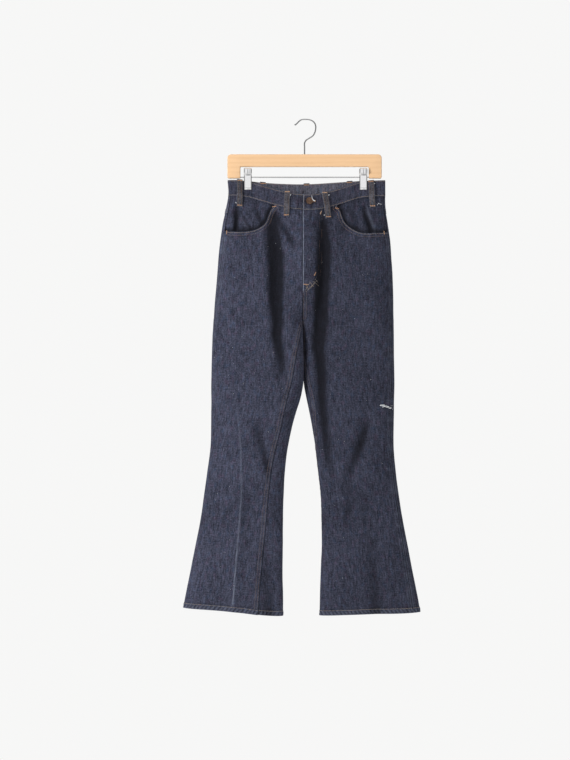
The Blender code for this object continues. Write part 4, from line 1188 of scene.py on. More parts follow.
@dataclass(frozen=True)
class WoodFinish:
    """Pale beech under satin lacquer, its grain along X."""

    pale: tuple[float, float, float] = (0.94, 0.618, 0.354)
    grain: tuple[float, float, float] = (0.70, 0.405, 0.195)

    def make(self, name: str) -> bpy.types.Material:
        """Makes the material."""
        board = Board(name)
        place = board.place()
        drift = board.noise(place, (5.0, 30.0, 34.0))
        _, depth, height = board.split(place)
        rings = ((height * 520.0 + depth * 210.0 + drift * 1.7).sine() * 0.5 + 0.5).power(2.0)
        fibre = board.noise(place, (26.0, 900.0, 900.0))
        fleck = board.noise(place, (110.0, 1500.0, 900.0), 1.0).step(0.7, 1.3)
        tone = (rings * 0.17 + fibre * 0.13 + drift * 0.13 + 0.14).limited()
        colour = board.mix(tone, self.pale, self.grain)
        colour = board.mix(fleck * 0.35, colour, (0.50, 0.27, 0.12))
        return board.finish({
            "Base Color": colour, "Roughness": (0.38 + fibre * 0.04).limited(),
            "Normal": board.bump(fibre * 0.2 + rings * 0.2 + 0.4, 0.0003, 0.25),
            "Coat Weight": 0.25, "Coat Roughness": 0.25})


@dataclass(frozen=True)
class MetalFinish:
    """Bare or plated metal, with fine marks of use, and any painted dark reflections and shade."""

    colour: tuple[float, float, float]
    roughness: float
    tarnish: tuple[float, float, float] = (0.30, 0.30, 0.31)
    tarnished: float = 0.12  # how strong its marks are
    lumps: float = 240.0  # how many marks lie on a metre
    painted_reflections: tuple[tuple[float, float, float, float, float], ...] = ()  # painted dark reflections and shade: middle X, Z, reach X, Z, strength

    def make(self, name: str) -> bpy.types.Material:
        """Makes the material."""
        board = Board(name)
        place = board.place()
        cloud = board.noise(place, (self.lumps, self.lumps, self.lumps), 3.0)
        scuff = board.noise(place, (2100.0, 2100.0, 160.0), 1.0)
        spread = (cloud.step(-0.1, 1.5) * self.tarnished * 2.0 + self.tarnished * 0.4).limited()
        colour = board.mix(spread, self.colour, self.tarnish)
        # Painted dark reflections and shade, each a soft dark oval mixed into the colour.
        for middle, height, wide, tall, strength in self.painted_reflections:
            across, _, up = board.split(place)
            across = (across - middle) / wide
            up = (up - height) / tall
            mark = (1.0 - across * across - up * up).limited() * strength
            colour = board.mix(mark, colour, (0.05, 0.05, 0.06))
        rough = (cloud * 0.04 + scuff * 0.025 + self.roughness + spread * 0.3).limited()
        return board.finish({
            "Base Color": colour, "Metallic": 1.0, "Roughness": rough,
            "Normal": board.bump(scuff * 0.2 + cloud * 0.2 + 0.5, 0.0001, 0.15)})


@dataclass(frozen=True)
class PlainFinish:
    """The floor's matt paint."""

    colour: tuple[float, float, float] = (0.86, 0.86, 0.85)

    def make(self, name: str) -> bpy.types.Material:
        """Makes the material."""
        board = Board(name)
        place = board.place()
        drift = board.noise(place, (3.0, 3.0, 3.0))
        dim = tuple(value * 0.96 for value in self.colour)
        return board.finish({"Base Color": board.mix(drift * 0.3 + 0.5, self.colour, dim),
                             "Roughness": 0.75})


# Places along one stitch or strand: share of its length, radius and lift as shares of the thread's
STITCH_PROFILE = ((0, 0.45, -1), (0.2, 1, 0.15), (0.8, 1, 0.15), (1, 0.45, -1))
STRAND_PROFILE = ((0, 0.3, -0.6), (0.2, 0.9, 0.3), (0.5, 1, 1), (0.8, 0.9, 0.3), (1, 0.3, -0.6))
THREAD_SIDES = 5


@dataclass(frozen=True)
class Thread:
    """A thread and how it is sewn, in millimetres."""

    radius: float = 0.33
    pitch: float = 3.1
    length: float = 2.55
    lift: float = 0.10


class Sewing:
    """Real stitches and strands, gathered into one mesh."""

    def __init__(self, name: str, thread: Thread = Thread()) -> None:
        """Starts with no stitch."""
        self.name = name
        self.thread = thread
        self.points: list[Array] = []
        self.quads: list[Array] = []
        self.caps: list[Array] = []
        self.count = 0
        self.random = np.random.default_rng(sum(ord(letter) for letter in name))

    def _tubes(self, centres: Array, normals: Array, radii: Array) -> None:
        """Adds closed tubes.

        Args:
            centres: Points along each tube.
            normals: The cloth's normals there.
            radii: Radius at each station, for each tube.
        """
        tubes, stations = centres.shape[:2]
        along = unit(np.gradient(centres, axis=1))
        across = unit(np.cross(along, normals))
        lift = np.cross(across, along)
        angles = np.arange(THREAD_SIDES) * (2 * math.pi / THREAD_SIDES)
        turned = (np.cos(angles)[:, None] * across[:, :, None] + np.sin(angles)[:, None] * lift[:, :, None])
        rings = centres[:, :, None] + turned * radii[:, :, None, None]
        base = np.arange(tubes)[:, None, None] * (stations * THREAD_SIDES) + self.count
        ring = np.arange(stations)[None, :, None] * THREAD_SIDES
        spoke = np.arange(THREAD_SIDES)[None, None, :]
        index = base + ring + spoke
        after = np.roll(index, -1, axis=2)
        quads = np.stack([index[:, :-1], index[:, 1:], after[:, 1:], after[:, :-1]], axis=-1)
        self.points.append(rings.reshape(-1, 3))
        self.quads.append(quads.reshape(-1, 4))
        self.caps += [index[:, 0], index[:, -1, ::-1]]
        self.count += tubes * stations * THREAD_SIDES

    def row(self, points: Array, normals: Array, start: float = 0.0) -> None:
        """Sews along a line.

        Args:
            points: Close points of the line, on the cloth.
            normals: The cloth's normals there.
            start: Where along it the first stitch starts.
        """
        run = np.concatenate([[0.0], np.cumsum(np.linalg.norm(np.diff(points, axis=0), axis=1))])
        count = int((run[-1] - start) / self.thread.pitch)
        if count < 1:
            return
        first = start + np.arange(count) * self.thread.pitch
        first = first + self.random.uniform(-0.12, 0.12, count)
        share, thick, rise = np.array(STITCH_PROFILE).T
        at = np.clip(first[:, None] + share * self.thread.length, 0.0, run[-1])
        centres = np.stack([np.interp(at, run, points[:, k]) for k in range(3)], axis=-1)
        facing = unit(np.stack([np.interp(at, run, normals[:, k]) for k in range(3)], axis=-1))
        lift = self.thread.lift + rise * self.thread.radius * 0.8
        centres = centres + facing * np.broadcast_to(lift, at.shape)[..., None]
        self._tubes(centres, facing, np.broadcast_to(thick * self.thread.radius, at.shape))

    def strands(self, starts: Array, ends: Array, normals: Array, radii: Array, rise: Array) -> None:
        """Adds single strands, each bowed up off the cloth.

        Args:
            starts: Where each one comes out.
            ends: Where it goes in.
            normals: The cloth's normal at each, or one for all.
            radii: Their radii.
            rise: How far the middle of each one stands up.
        """
        share, thick, bow = np.array(STRAND_PROFILE).T
        centres = starts[:, None] * (1 - share)[:, None] + ends[:, None] * share[:, None]
        lift = bow * np.asarray(rise)[:, None]
        normals = np.broadcast_to(normals, starts.shape)
        facing = np.repeat(normals[:, None], len(share), axis=1)
        self._tubes(centres + facing * lift[..., None], facing, np.asarray(radii)[:, None] * thick)

    def tack(self, place: Array, normal: Array, along: Array, length: float, wide: float) -> None:
        """Adds a bar tack, a bar of close strands.

        Args:
            place: Its middle.
            normal: The cloth's normal there.
            along: Direction of the bar.
            length: Its length.
            wide: Its width.
        """
        normal = unit(normal)
        along = unit(along - normal * (along @ normal))
        across = np.cross(normal, along)
        count = max(4, int(length / 0.62))
        spots = (np.arange(count) / (count - 1) - 0.5) * length
        lean = np.where(np.arange(count) % 2 == 0, 0.35, -0.35)
        middle = place + along * spots[:, None] + normal * 0.18
        jitter = self.random.uniform(-0.15, 0.15, (count, 1))
        half = across * (wide / 2 + jitter)
        starts = middle - half - along * lean[:, None]
        ends = middle + half + along * lean[:, None]
        self.strands(starts, ends, normal, np.full(count, 0.36), np.full(count, 0.38))

    def build(self, finish: bpy.types.Material) -> bpy.types.Object:
        """Makes the object of all that was sewn."""
        faces = np.concatenate(self.quads).tolist() + np.concatenate(self.caps).tolist()
        return mesh_object(self.name, self.points, faces, [finish])


def near_edge(count: int, low: Sequence[float], high: Sequence[float]) -> tuple[Array, Array]:
    """How the lines of a grid stand between two edges: close at both, and even between.

    Args:
        count: How many even lines lie between the close ones.
        low: Distances of the close lines from the first edge.
        high: The same from the last edge.

    Returns:
        For each line, its share of the way across, and its distance to add.
    """
    low, high = np.array(low), np.array(high)[::-1]
    shares = np.linspace(0.0, 1.0, count + 2)[1:-1]
    share = np.concatenate([np.zeros(len(low)), shares, np.ones(len(high))])
    shift = np.concatenate([low, low[-1] * (1 - shares) - high[0] * shares, -high])
    return share, shift


def between(start: Array, end: Array, lines: tuple[Array, Array]) -> Array:
    """Lines of a grid between two edges, along a new last axis."""
    share, shift = lines
    return start[..., None] * (1 - share) + end[..., None] * share + shift


EDGE_LINES = (0, 0.45, 1, 1.7, 2.5, 3.3, 4.3, 6, 8, 9, 10, 11.2, 12.6)
FOOT_LINES = (0, 0.5, 1.2, 2.2, 3.6, 5.2, 6.8, 8.4, 9.8, 10.8, 11.6, 12.6, 14)


@dataclass
class ClothPiece:
    """One cut piece of the garment, sewn where it lies on one half."""

    form: HalfForm
    name: str
    node: str  # the solid that it stands for
    slot: str
    flat: tuple[float, float]  # width and length of the cut piece, in metres
    area: float  # in square metres
    dye: float = 1.0  # a factor on the colour of the cloth
    face: Face = Face.FRONT
    held_by: tuple[str, ...] = ("waistband_cloth",)  # what it hangs from

    def relief(self, level: Array, arc: Array) -> Relief:
        """What sewing, wear and painted shade add at flat places."""
        raise NotImplementedError

    def sew(self, bright: Sewing, dull: Sewing) -> None:
        """Adds its own stitches, of which this piece has none."""

    def grid(self) -> tuple[Array, Array]:
        """(levels, arcs) of its points, row by row."""
        raise NotImplementedError

    def edges_at(self, level: Values) -> tuple[Array, Array]:
        """Arcs of its first and last edge."""
        form = self.form
        if self.face is Face.FRONT:
            return form.inseam_at(level), form.outseam_at(level)
        return form.outseam_at(level), form.back_end_at(level)

    def arcs(self, level: Array, lines: tuple[Array, Array]) -> Array:
        """Arcs of the lines of its grid, each at its level."""
        start, end = self.edges_at(level)
        return start * (1 - lines[0]) + end * lines[0] + lines[1]

    def _cloth(self, level: Array, arc: Array) -> Relief:
        """The unevenness and rubbing of plain cloth."""
        made = Relief.plain(level)
        x, z, front = self.form.hung(level, arc)
        calm = 1 - clip_hold(x, level)
        start, end = self.form.inseam_at(level), self.form.back_end_at(level)
        calm = calm * eased((arc - start) / 14.0) * eased((end - arc) / 14.0)
        for ripple in RIPPLES:
            made.add(ripple.at(arc, level) * calm)
        for line in WORN_LINES:
            strength = crease_strength(line, x, z) * (front if line.face is Face.FRONT else ~front)
            made.add(1.4 * strength, strength)
        side_fold = ridge(arc, self.form.fold_at(level), 2.6) * eased((CROTCH - level) / 200.0)
        inner_fold = ridge(arc, 0.0, 2.2) + ridge(arc, self.form.length_at(level), 2.2)
        made.add(0.0, 0.10 * side_fold + 0.08 * inner_fold * (level < CROTCH))
        return made

    def on_face(self, path: Array, lift: float = 0.0) -> tuple[Array, Array]:
        """Points and normals of the dressed face along a flat path of (arc, level) points."""
        arc, level = path[:, 0], path[:, 1]
        place, normal, _ = self.form.frame(level, arc)
        return place + normal * (self.relief(level, arc).out + lift)[:, None], normal

    def _finishes(self) -> list[bpy.types.Material]:
        """The materials of its two sides."""
        # The left half is darker as painted shade, since its front turns away from the key lamp.
        dyed = self.dye * (0.76 if self.form.side is Side.LEFT else 0.98)
        right_side = DenimFinish(dye=tuple(value * dyed for value in DenimFinish.dye))
        wrong_side = DenimFinish(dye=(0.135, 0.150, 0.185), contrast=0.8, twill=0.3, roll=-1)
        return [right_side.make(self.slot), wrong_side.make(self.slot + "_inside")]

    def _thickness(self, level: Array, arc: Array) -> Array:
        """Thickness of the cloth at flat places."""
        return np.full(level.shape, CLOTH)

    def build(self) -> bpy.types.Object:
        """Makes the piece and hides the solid that it stands for."""
        level, arc = self.grid()
        place, normal, depth = self.form.frame(level, arc)
        relief = self.relief(level, arc)
        # Painted shade in the creases, full where a crease is 9.5 mm deep.
        relief.add(0.0, 0.0, eased(depth / 9.5))
        outer = place + normal * relief.out[..., None]
        inner = outer - normal * self._thickness(level, arc)[..., None]
        mesh = ClothMesh()
        across = self.form.across_grain(self.face, level, arc)
        mesh.wall(outer, inner, np.stack([across, level], axis=-1), relief)
        made = mesh.build(self.name, self._finishes())
        dress(made, self.slot, self.node)
        return made


def dress(piece: bpy.types.Object, slot: str, *nodes: str) -> None:
    """Makes a piece part of the object and hides the solids that it stands for."""
    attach(piece, "root")
    if nodes:
        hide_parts(*nodes)
    LOG.info("%s: %d faces", piece.name, len(piece.data.polygons))


@dataclass
class LegPanel(ClothPiece):
    """Front or back of one leg, down to its hem."""

    columns: int = 84
    lower_rows: int = 222

    def _foot(self, arc: Array) -> Array:
        """Level of the hem's edge."""
        x = self.form.raw(np.full(arc.shape, HEM_LINE[0][1]), arc)[0]
        return smooth(x, *zip(*HEM_LINE))

    def _levels(self, top: Array, foot: Array, rows: int, close: Sequence[float]) -> Array:
        """Levels of the grid.

        Args:
            top: Level of each line at the upper edge.
            foot: The same at the hem.
            rows: How many rows lie above the level ones.
            close: Distances of the close rows from the upper edge.

        Returns:
            A row of levels for each row of the grid.
        """
        merge = np.full(top.shape, MERGE_LEVEL)
        upper = between(top, merge, near_edge(rows, close, (0.0,)))
        lower = between(merge, foot, near_edge(self.lower_rows, (-3.6,), [-value for value in FOOT_LINES]))
        return np.concatenate([upper, lower], axis=-1).T

    def sew_hem(self, bright: Sewing) -> None:
        """Sews the hem's row."""
        start, end = self.edges_at(HEM_LEVEL)
        arcs = np.arange(start + 1.0, end - 0.5, SEW_STEP)
        bright.row(*self.on_face(line_of(arcs, self._foot(arcs) + HEM_TALL)))


@dataclass
class FrontPanel(LegPanel):
    """Front of one leg, scooped out for its pocket; the left one carries the fly."""

    upper_rows: int = 26

    def __post_init__(self) -> None:
        """Lays out its pocket edge and the fly's topstitch."""
        self.scoop = finer(self.form.flat_path(SCOOPS[self.form.side], True), 1.5)
        hidden = [[self.scoop[0, 0] - 1.0, BAND_SEAM + BAND_HIDES]]
        self.pocket_edge = np.concatenate([hidden, self.scoop])
        self.fly = finer(self.form.flat_path(FLY_CURVE, True), 1.5)

    def _top(self, arc: Array) -> Array:
        """Level of its upper edge: under the band, then along the pocket's edge."""
        edge = np.interp(arc, self.scoop[:, 0], self.scoop[:, 1])
        return np.where(arc < self.scoop[0, 0], BAND_SEAM + BAND_HIDES, edge)

    def grid(self) -> tuple[Array, Array]:
        """(levels, arcs) of its points, row by row."""
        lines = near_edge(self.columns, EDGE_LINES, EDGE_LINES[:-1])
        top = np.full(len(lines[0]), BAND_SEAM)
        foot = np.full(len(lines[0]), HEM_LEVEL)
        for _ in range(8):
            top = self._top(self.arcs(top, lines))
            foot = self._foot(self.arcs(foot, lines))
        level = self._levels(top, foot, self.upper_rows, [-value for value in EDGE_LINES[:-2]])
        return level, self.arcs(level, lines)

    def relief(self, level: Array, arc: Array) -> Relief:
        """What sewing, wear and painted shade add at flat places."""
        form = self.form
        made = self._cloth(level, arc)
        from_inner = arc - form.inseam_at(level)
        from_outer = form.outseam_at(level) - arc
        leg = eased((CROTCH + 4.0 - level) / 8.0)
        LappedSeam().press(made, from_inner, level, leg)
        OpenSeam().press(made, from_outer, level)
        Hem().press(made, level - self._foot(arc), arc)
        edge = distance_to(self.pocket_edge, arc, level)
        LappedSeam(wide=10.0, high=0.5, rows=SCOOP_ROWS, pucker=0.22).press(
            made, edge, arc + level, 1.0 * (level > MERGE_LEVEL - 20.0))
        self._rise(made, level, arc, 1 - leg)
        # Painted shadow under the lower edge of the band.
        made.add(0.0, 0.0, 0.5 * fall(BAND_SEAM - level, 3.0) * (level > BAND_SEAM - 8.0))
        return made

    def _rise(self, made: Relief, level: Array, arc: Array, amount: Array) -> None:
        """Adds the fly, and the sewn rise below it, which lap left over right."""
        if self.form.side is Side.RIGHT:
            LappedSeam.tuck(made, arc, amount)
            return
        fly_foot = self.fly[-1, 1]
        below = eased((fly_foot - level) / 6.0) * amount
        LappedSeam(wide=9.5, high=0.9, rows=FELLED_ROWS, rub=-0.2).press(made, arc, level, below)
        # Painted shade along the rise seam below the fly.
        made.add(0.0, 0.0, 0.9 * fall(arc, 1.4) * below)
        fly = (1 - below) * amount
        reach = np.interp(-level, -self.fly[:, 1], self.fly[:, 0])
        inside = np.where(arc < reach, 1.0, -1.0) * distance_to(self.fly, arc, level)
        below_band = eased((BAND_SEAM - level) / 6.0)
        made.add((0.8 - 0.5 * fall(arc, 0.9) + 0.45 * eased((inside + 2.6) / 1.6)) * fly
                 * eased((60.0 - arc) / 20.0) * below_band
                 - 0.22 * ridge(inside, 0.0, 0.8) * fly - 0.22 * ridge(inside, 5.4, 0.8) * fly,
                 fly * (0.82 + 0.35 * Ripple(71, 9.0, 14.0, 1.0).at(arc, level)) * fall(arc - 0.7, 2.3))

    def sew(self, bright: Sewing, dull: Sewing) -> None:
        """Sews its seams."""
        form = self.form
        levels = np.arange(CROTCH - 4.0, HEM_LEVEL + 6.0, -SEW_STEP)
        for row in LappedSeam().rows:
            dull.row(*self.on_face(line_of(form.inseam_at(levels) + row, levels)))
        self.sew_hem(bright)
        edge = self.pocket_edge[self.pocket_edge[:, 0] < form.outseam_at(self.pocket_edge[:, 1]) - 0.5]
        for row, sewing in zip(SCOOP_ROWS, (bright, dull)):
            path = parallel(finer(edge, SEW_STEP), -row)
            sewing.row(*self.on_face(path[path[:, 1] < BAND_SEAM - 1.0]))
        if form.side is Side.LEFT:
            for row in FLY_ROWS:
                dull.row(*self.on_face(parallel(self.fly, -row)[:-3], -0.22))
            levels = np.arange(self.fly[-1, 1] - 2.0, CROTCH, -SEW_STEP)
            for row in FELLED_ROWS:
                dull.row(*self.on_face(line_of(row, levels)))


@dataclass
class PocketFacing(ClothPiece):
    """Denim behind the scooped opening of a front pocket."""

    front: Optional[FrontPanel] = None
    hides: float = 17.0
    columns: int = 52
    rows: int = 30

    def grid(self) -> tuple[Array, Array]:
        """(levels, arcs) of its points, row by row."""
        top = BAND_SEAM + BAND_HIDES
        first = self.front.scoop[0, 0] - 6.0
        share = np.linspace(0.0, 1.0, self.columns)
        level = np.full(self.columns, -240.0)
        for _ in range(6):
            arc = first + (self.form.outseam_at(level) - first) * share
            level = np.interp(arc, self.front.scoop[:, 0], self.front.scoop[:, 1]) - self.hides
        down = np.linspace(0.0, 1.0, self.rows)[:, None]
        levels = top * (1 - down) + level * down
        return levels, first + (self.form.outseam_at(levels) - first) * share

    def relief(self, level: Array, arc: Array) -> Relief:
        """What sewing, wear and painted shade add at flat places."""
        made = self._cloth(level, arc)
        x, z, _ = self.form.hung(level, arc)
        under = distance_to(self.front.pocket_edge, arc, level)
        edge_level = np.interp(arc, self.front.scoop[:, 0], self.front.scoop[:, 1])
        clear = np.where((level > edge_level) & (arc > self.front.scoop[0, 0]), under, 0.0)
        open_seam = fall(self.form.outseam_at(level) - arc, 2.0)
        # Sunk behind the opening, with painted shadow under the pocket's edge, painted shade in the side
        # seam's groove and painted shadow under the band.
        made.add(-CLOTH - 1.6 + 2.3 * eased((clear - 2.0) / 20.0) - 0.5 * open_seam, 0.0,
                 0.95 * fall(clear - 2.0, 13.0) + 0.5 * open_seam
                 + 0.5 * fall(BAND_SEAM - level, 6.0))
        fade = eased((self.form.outseam_at(level) - arc) / 8.0)
        for fold in FACING_FOLDS[self.form.side]:
            strength = crease_strength(fold, x, z) * fade
            # Ridges of the folds are whitened by wear; their troughs get painted shade.
            made.add(-strength, 0.14 * np.clip(-strength, 0, 2), 0.24 * np.clip(strength, 0, 6))
        return made


class PatchPlace(NamedTuple):
    """Flat distances of a point of the back pocket from the edges of the patch."""

    side: Array
    top: Array
    foot: Array


@dataclass
class BackPanel(LegPanel):
    """Back of one leg, from the yoke to the hem."""

    upper_rows: int = 16

    def _top(self, level: Array, arc: Array) -> Array:
        """Level of the yoke seam at an arc."""
        start, end = self.edges_at(level)
        return yoke_level(np.clip((arc - start) / (end - start), 0.0, 1.0))

    def grid(self) -> tuple[Array, Array]:
        """(levels, arcs) of its points, row by row."""
        lines = near_edge(self.columns, EDGE_LINES[:-1], EDGE_LINES)
        top = yoke_level(np.clip(lines[0] + lines[1] / 200.0, 0.0, 1.0))
        foot = np.full(len(lines[0]), HEM_LEVEL)
        for _ in range(6):
            foot = self._foot(self.arcs(foot, lines))
            top = self._top(top, self.arcs(top, lines))
        level = self._levels(top, foot, self.upper_rows, (0.0, -0.5, -1.2, -2.4, -4.0))
        return level, self.arcs(level, lines)

    def relief(self, level: Array, arc: Array) -> Relief:
        """What sewing, wear and painted shade add at flat places."""
        form = self.form
        made = self._cloth(level, arc)
        from_inner = form.back_end_at(level) - arc
        leg = eased((CROTCH + 4.0 - level) / 8.0)
        OpenSeam().press(made, arc - form.outseam_at(level), level)
        LappedSeam.tuck(made, from_inner, leg)
        if form.side is Side.LEFT:
            LappedSeam(rows=FELLED_ROWS).press(made, from_inner, level, 1 - leg)
        else:
            LappedSeam.tuck(made, from_inner, 1 - leg)
        Hem().press(made, level - self._foot(arc), arc)
        LappedSeam.tuck(made, self._top(level, arc) - level)
        return made

    def sew(self, bright: Sewing, dull: Sewing) -> None:
        """Sews its seams."""
        self.sew_hem(bright)
        if self.form.side is Side.LEFT:
            levels = np.arange(YOKE_CENTRE - 3.0, CROTCH, -SEW_STEP)
            for row in FELLED_ROWS:
                dull.row(*self.on_face(line_of(self.form.back_end_at(levels) - row, levels)))


@dataclass
class Yoke(ClothPiece):
    """Back yoke of one side, which laps over the back panel."""

    columns: int = 72
    rows: int = 16

    def grid(self) -> tuple[Array, Array]:
        """(levels, arcs) of its points, row by row."""
        lines = near_edge(self.columns, EDGE_LINES[:-1], EDGE_LINES)
        share = np.clip(lines[0] + lines[1] / 190.0, 0.0, 1.0)
        top = np.full(share.shape, BAND_SEAM + BAND_HIDES)
        rows = near_edge(self.rows, (0.0,), [-value for value in EDGE_LINES[:-1]])
        level = between(top, yoke_level(share), rows).T
        return level, self.arcs(level, lines)

    def relief(self, level: Array, arc: Array) -> Relief:
        """What sewing, wear and painted shade add at flat places."""
        made = self._cloth(level, arc)
        start, end = self.edges_at(level)
        OpenSeam().press(made, arc - start, level)
        above = level - yoke_level(np.clip((arc - start) / (end - start), 0.0, 1.0))
        LappedSeam(rows=FELLED_ROWS).press(made, above, arc)
        if self.form.side is Side.LEFT:
            LappedSeam(rows=FELLED_ROWS, high=0.6).press(made, end - arc, level)
        else:
            LappedSeam.tuck(made, end - arc)
        # Painted shadow under the lower edge of the band.
        made.add(0.0, 0.0, 0.5 * fall(BAND_SEAM - level, 3.0))
        return made

    def sew(self, bright: Sewing, dull: Sewing) -> None:
        """Sews its seams."""
        form = self.form
        share = np.linspace(0.0, 1.0, 160)
        for row in FELLED_ROWS:
            level = yoke_level(share) + row
            arc = form.outseam_at(level) * (1 - share) + form.back_end_at(level) * share
            bright.row(*self.on_face(line_of(arc, level)[1:-1]))
            if form.side is Side.LEFT:
                levels = np.arange(BAND_SEAM, YOKE_CENTRE, -SEW_STEP)
                bright.row(*self.on_face(line_of(form.back_end_at(levels) - row, levels)))


@dataclass
class BackPocket(ClothPiece):
    """Plain patch pocket, sewn down in two rows on three sides."""

    columns: int = 40
    rows: int = 44

    @staticmethod
    def _wide(down: Values) -> Array:
        """Width of the patch at a share down it."""
        return POCKET_WIDE + (POCKET_FOOT_WIDE - POCKET_WIDE) * np.clip(down, 0, 1)

    @staticmethod
    def _tall(across: Values) -> Array:
        """Height of the patch at a share across it, from -0.5 to 0.5."""
        return POCKET_TALL + POCKET_POINT * (1 - 2 * np.minimum(abs(across), 0.5))

    def _middle(self, level: Array) -> Array:
        """Arc of the patch's middle line."""
        return self.form.length_at(level) - POCKET_FROM_CENTRE - POCKET_WIDE / 2

    def _place(self, across: Array, down: Array) -> tuple[Array, Array]:
        """(level, arc) at a share across the patch and a share down it."""
        level = POCKET_TOP - self._tall(across) * down
        return level, self._middle(level) + across * self._wide(down)

    @staticmethod
    def _lines(count: int, size: float) -> Array:
        """Shares that stand close at both edges."""
        close = EDGE_LINES[:-1]
        share, shift = near_edge(count, close, close)
        return share + shift / size

    def grid(self) -> tuple[Array, Array]:
        """(levels, arcs) of its points, row by row."""
        across = self._lines(self.columns, POCKET_WIDE)[None, :] - 0.5
        down = self._lines(self.rows, POCKET_TALL)[:, None]
        return self._place(across, down)

    def _edges(self, level: Array, arc: Array) -> PatchPlace:
        """How far flat places lie inside the patch's edges."""
        from_top = POCKET_TOP - level
        down = from_top / POCKET_TALL
        for _ in range(6):
            wide = self._wide(down)
            across = (arc - self._middle(level)) / wide
            down = from_top / self._tall(across)
        return PatchPlace((0.5 - abs(across)) * wide, from_top, (1 - down) * self._tall(across) * 0.97)

    def relief(self, level: Array, arc: Array) -> Relief:
        """What sewing, wear and painted shade add at flat places."""
        made = self._cloth(level, arc)
        edges = self._edges(level, arc)
        near = np.minimum(edges.side, edges.foot)
        made.add(CLOTH + 0.25)
        LappedSeam(wide=10.0, high=0.45, rows=PATCH_ROWS, pucker=0.2).press(made, near, arc - level)
        LappedSeam(wide=15.0, high=0.4, rows=MOUTH_ROWS, pucker=0.12).press(made, edges.top, arc)
        sewn = fall(edges.side - 2.0, 30.0)
        made.add(0.9 * fall(edges.top, 26.0) * (1 - sewn), 0.04 * eased(near / 30.0))
        return made

    def _thickness(self, level: Array, arc: Array) -> Array:
        """Its cloth, and down to the panel at its sewn edges."""
        edges = self._edges(level, arc)
        return CLOTH + 0.2 * fall(np.minimum(edges.side, edges.foot), 3.0)

    def sew(self, bright: Sewing, dull: Sewing) -> None:
        """Sews it on."""
        for row in PATCH_ROWS:
            share = 0.5 - row / POCKET_WIDE
            lower = 1 - row / (POCKET_TALL + POCKET_POINT)
            down = np.linspace(0.005, lower, 140)
            side = 0.5 - row / self._wide(down)
            across = np.linspace(-share, share, 130)
            for part, depth in ((-side, down), (side, down), (across, np.full(130, lower))):
                level, arc = self._place(part, depth)
                bright.row(*self.on_face(line_of(arc, level), 0.02))
        for row in MOUTH_ROWS:
            across = np.linspace(-0.5 + 1.6 / POCKET_WIDE, 0.5 - 1.6 / POCKET_WIDE, 130)
            level, arc = self._place(across, np.full(130, row / POCKET_TALL))
            bright.row(*self.on_face(line_of(arc, level), 0.02))
        for end in (-0.47, 0.47):
            level, arc = self._place(np.array([end]), np.array([0.03]))
            place, normal = self.on_face(line_of(arc, level))
            bright.tack(place[0], normal[0], np.array([0.0, 0.0, 1.0]), 8.5, 2.4)


class Stretch(NamedTuple):
    """Part of the waistband: the half it lies on, its arcs, and how deep it is sunk."""

    half: HalfForm
    arcs: Array
    sunk: Array


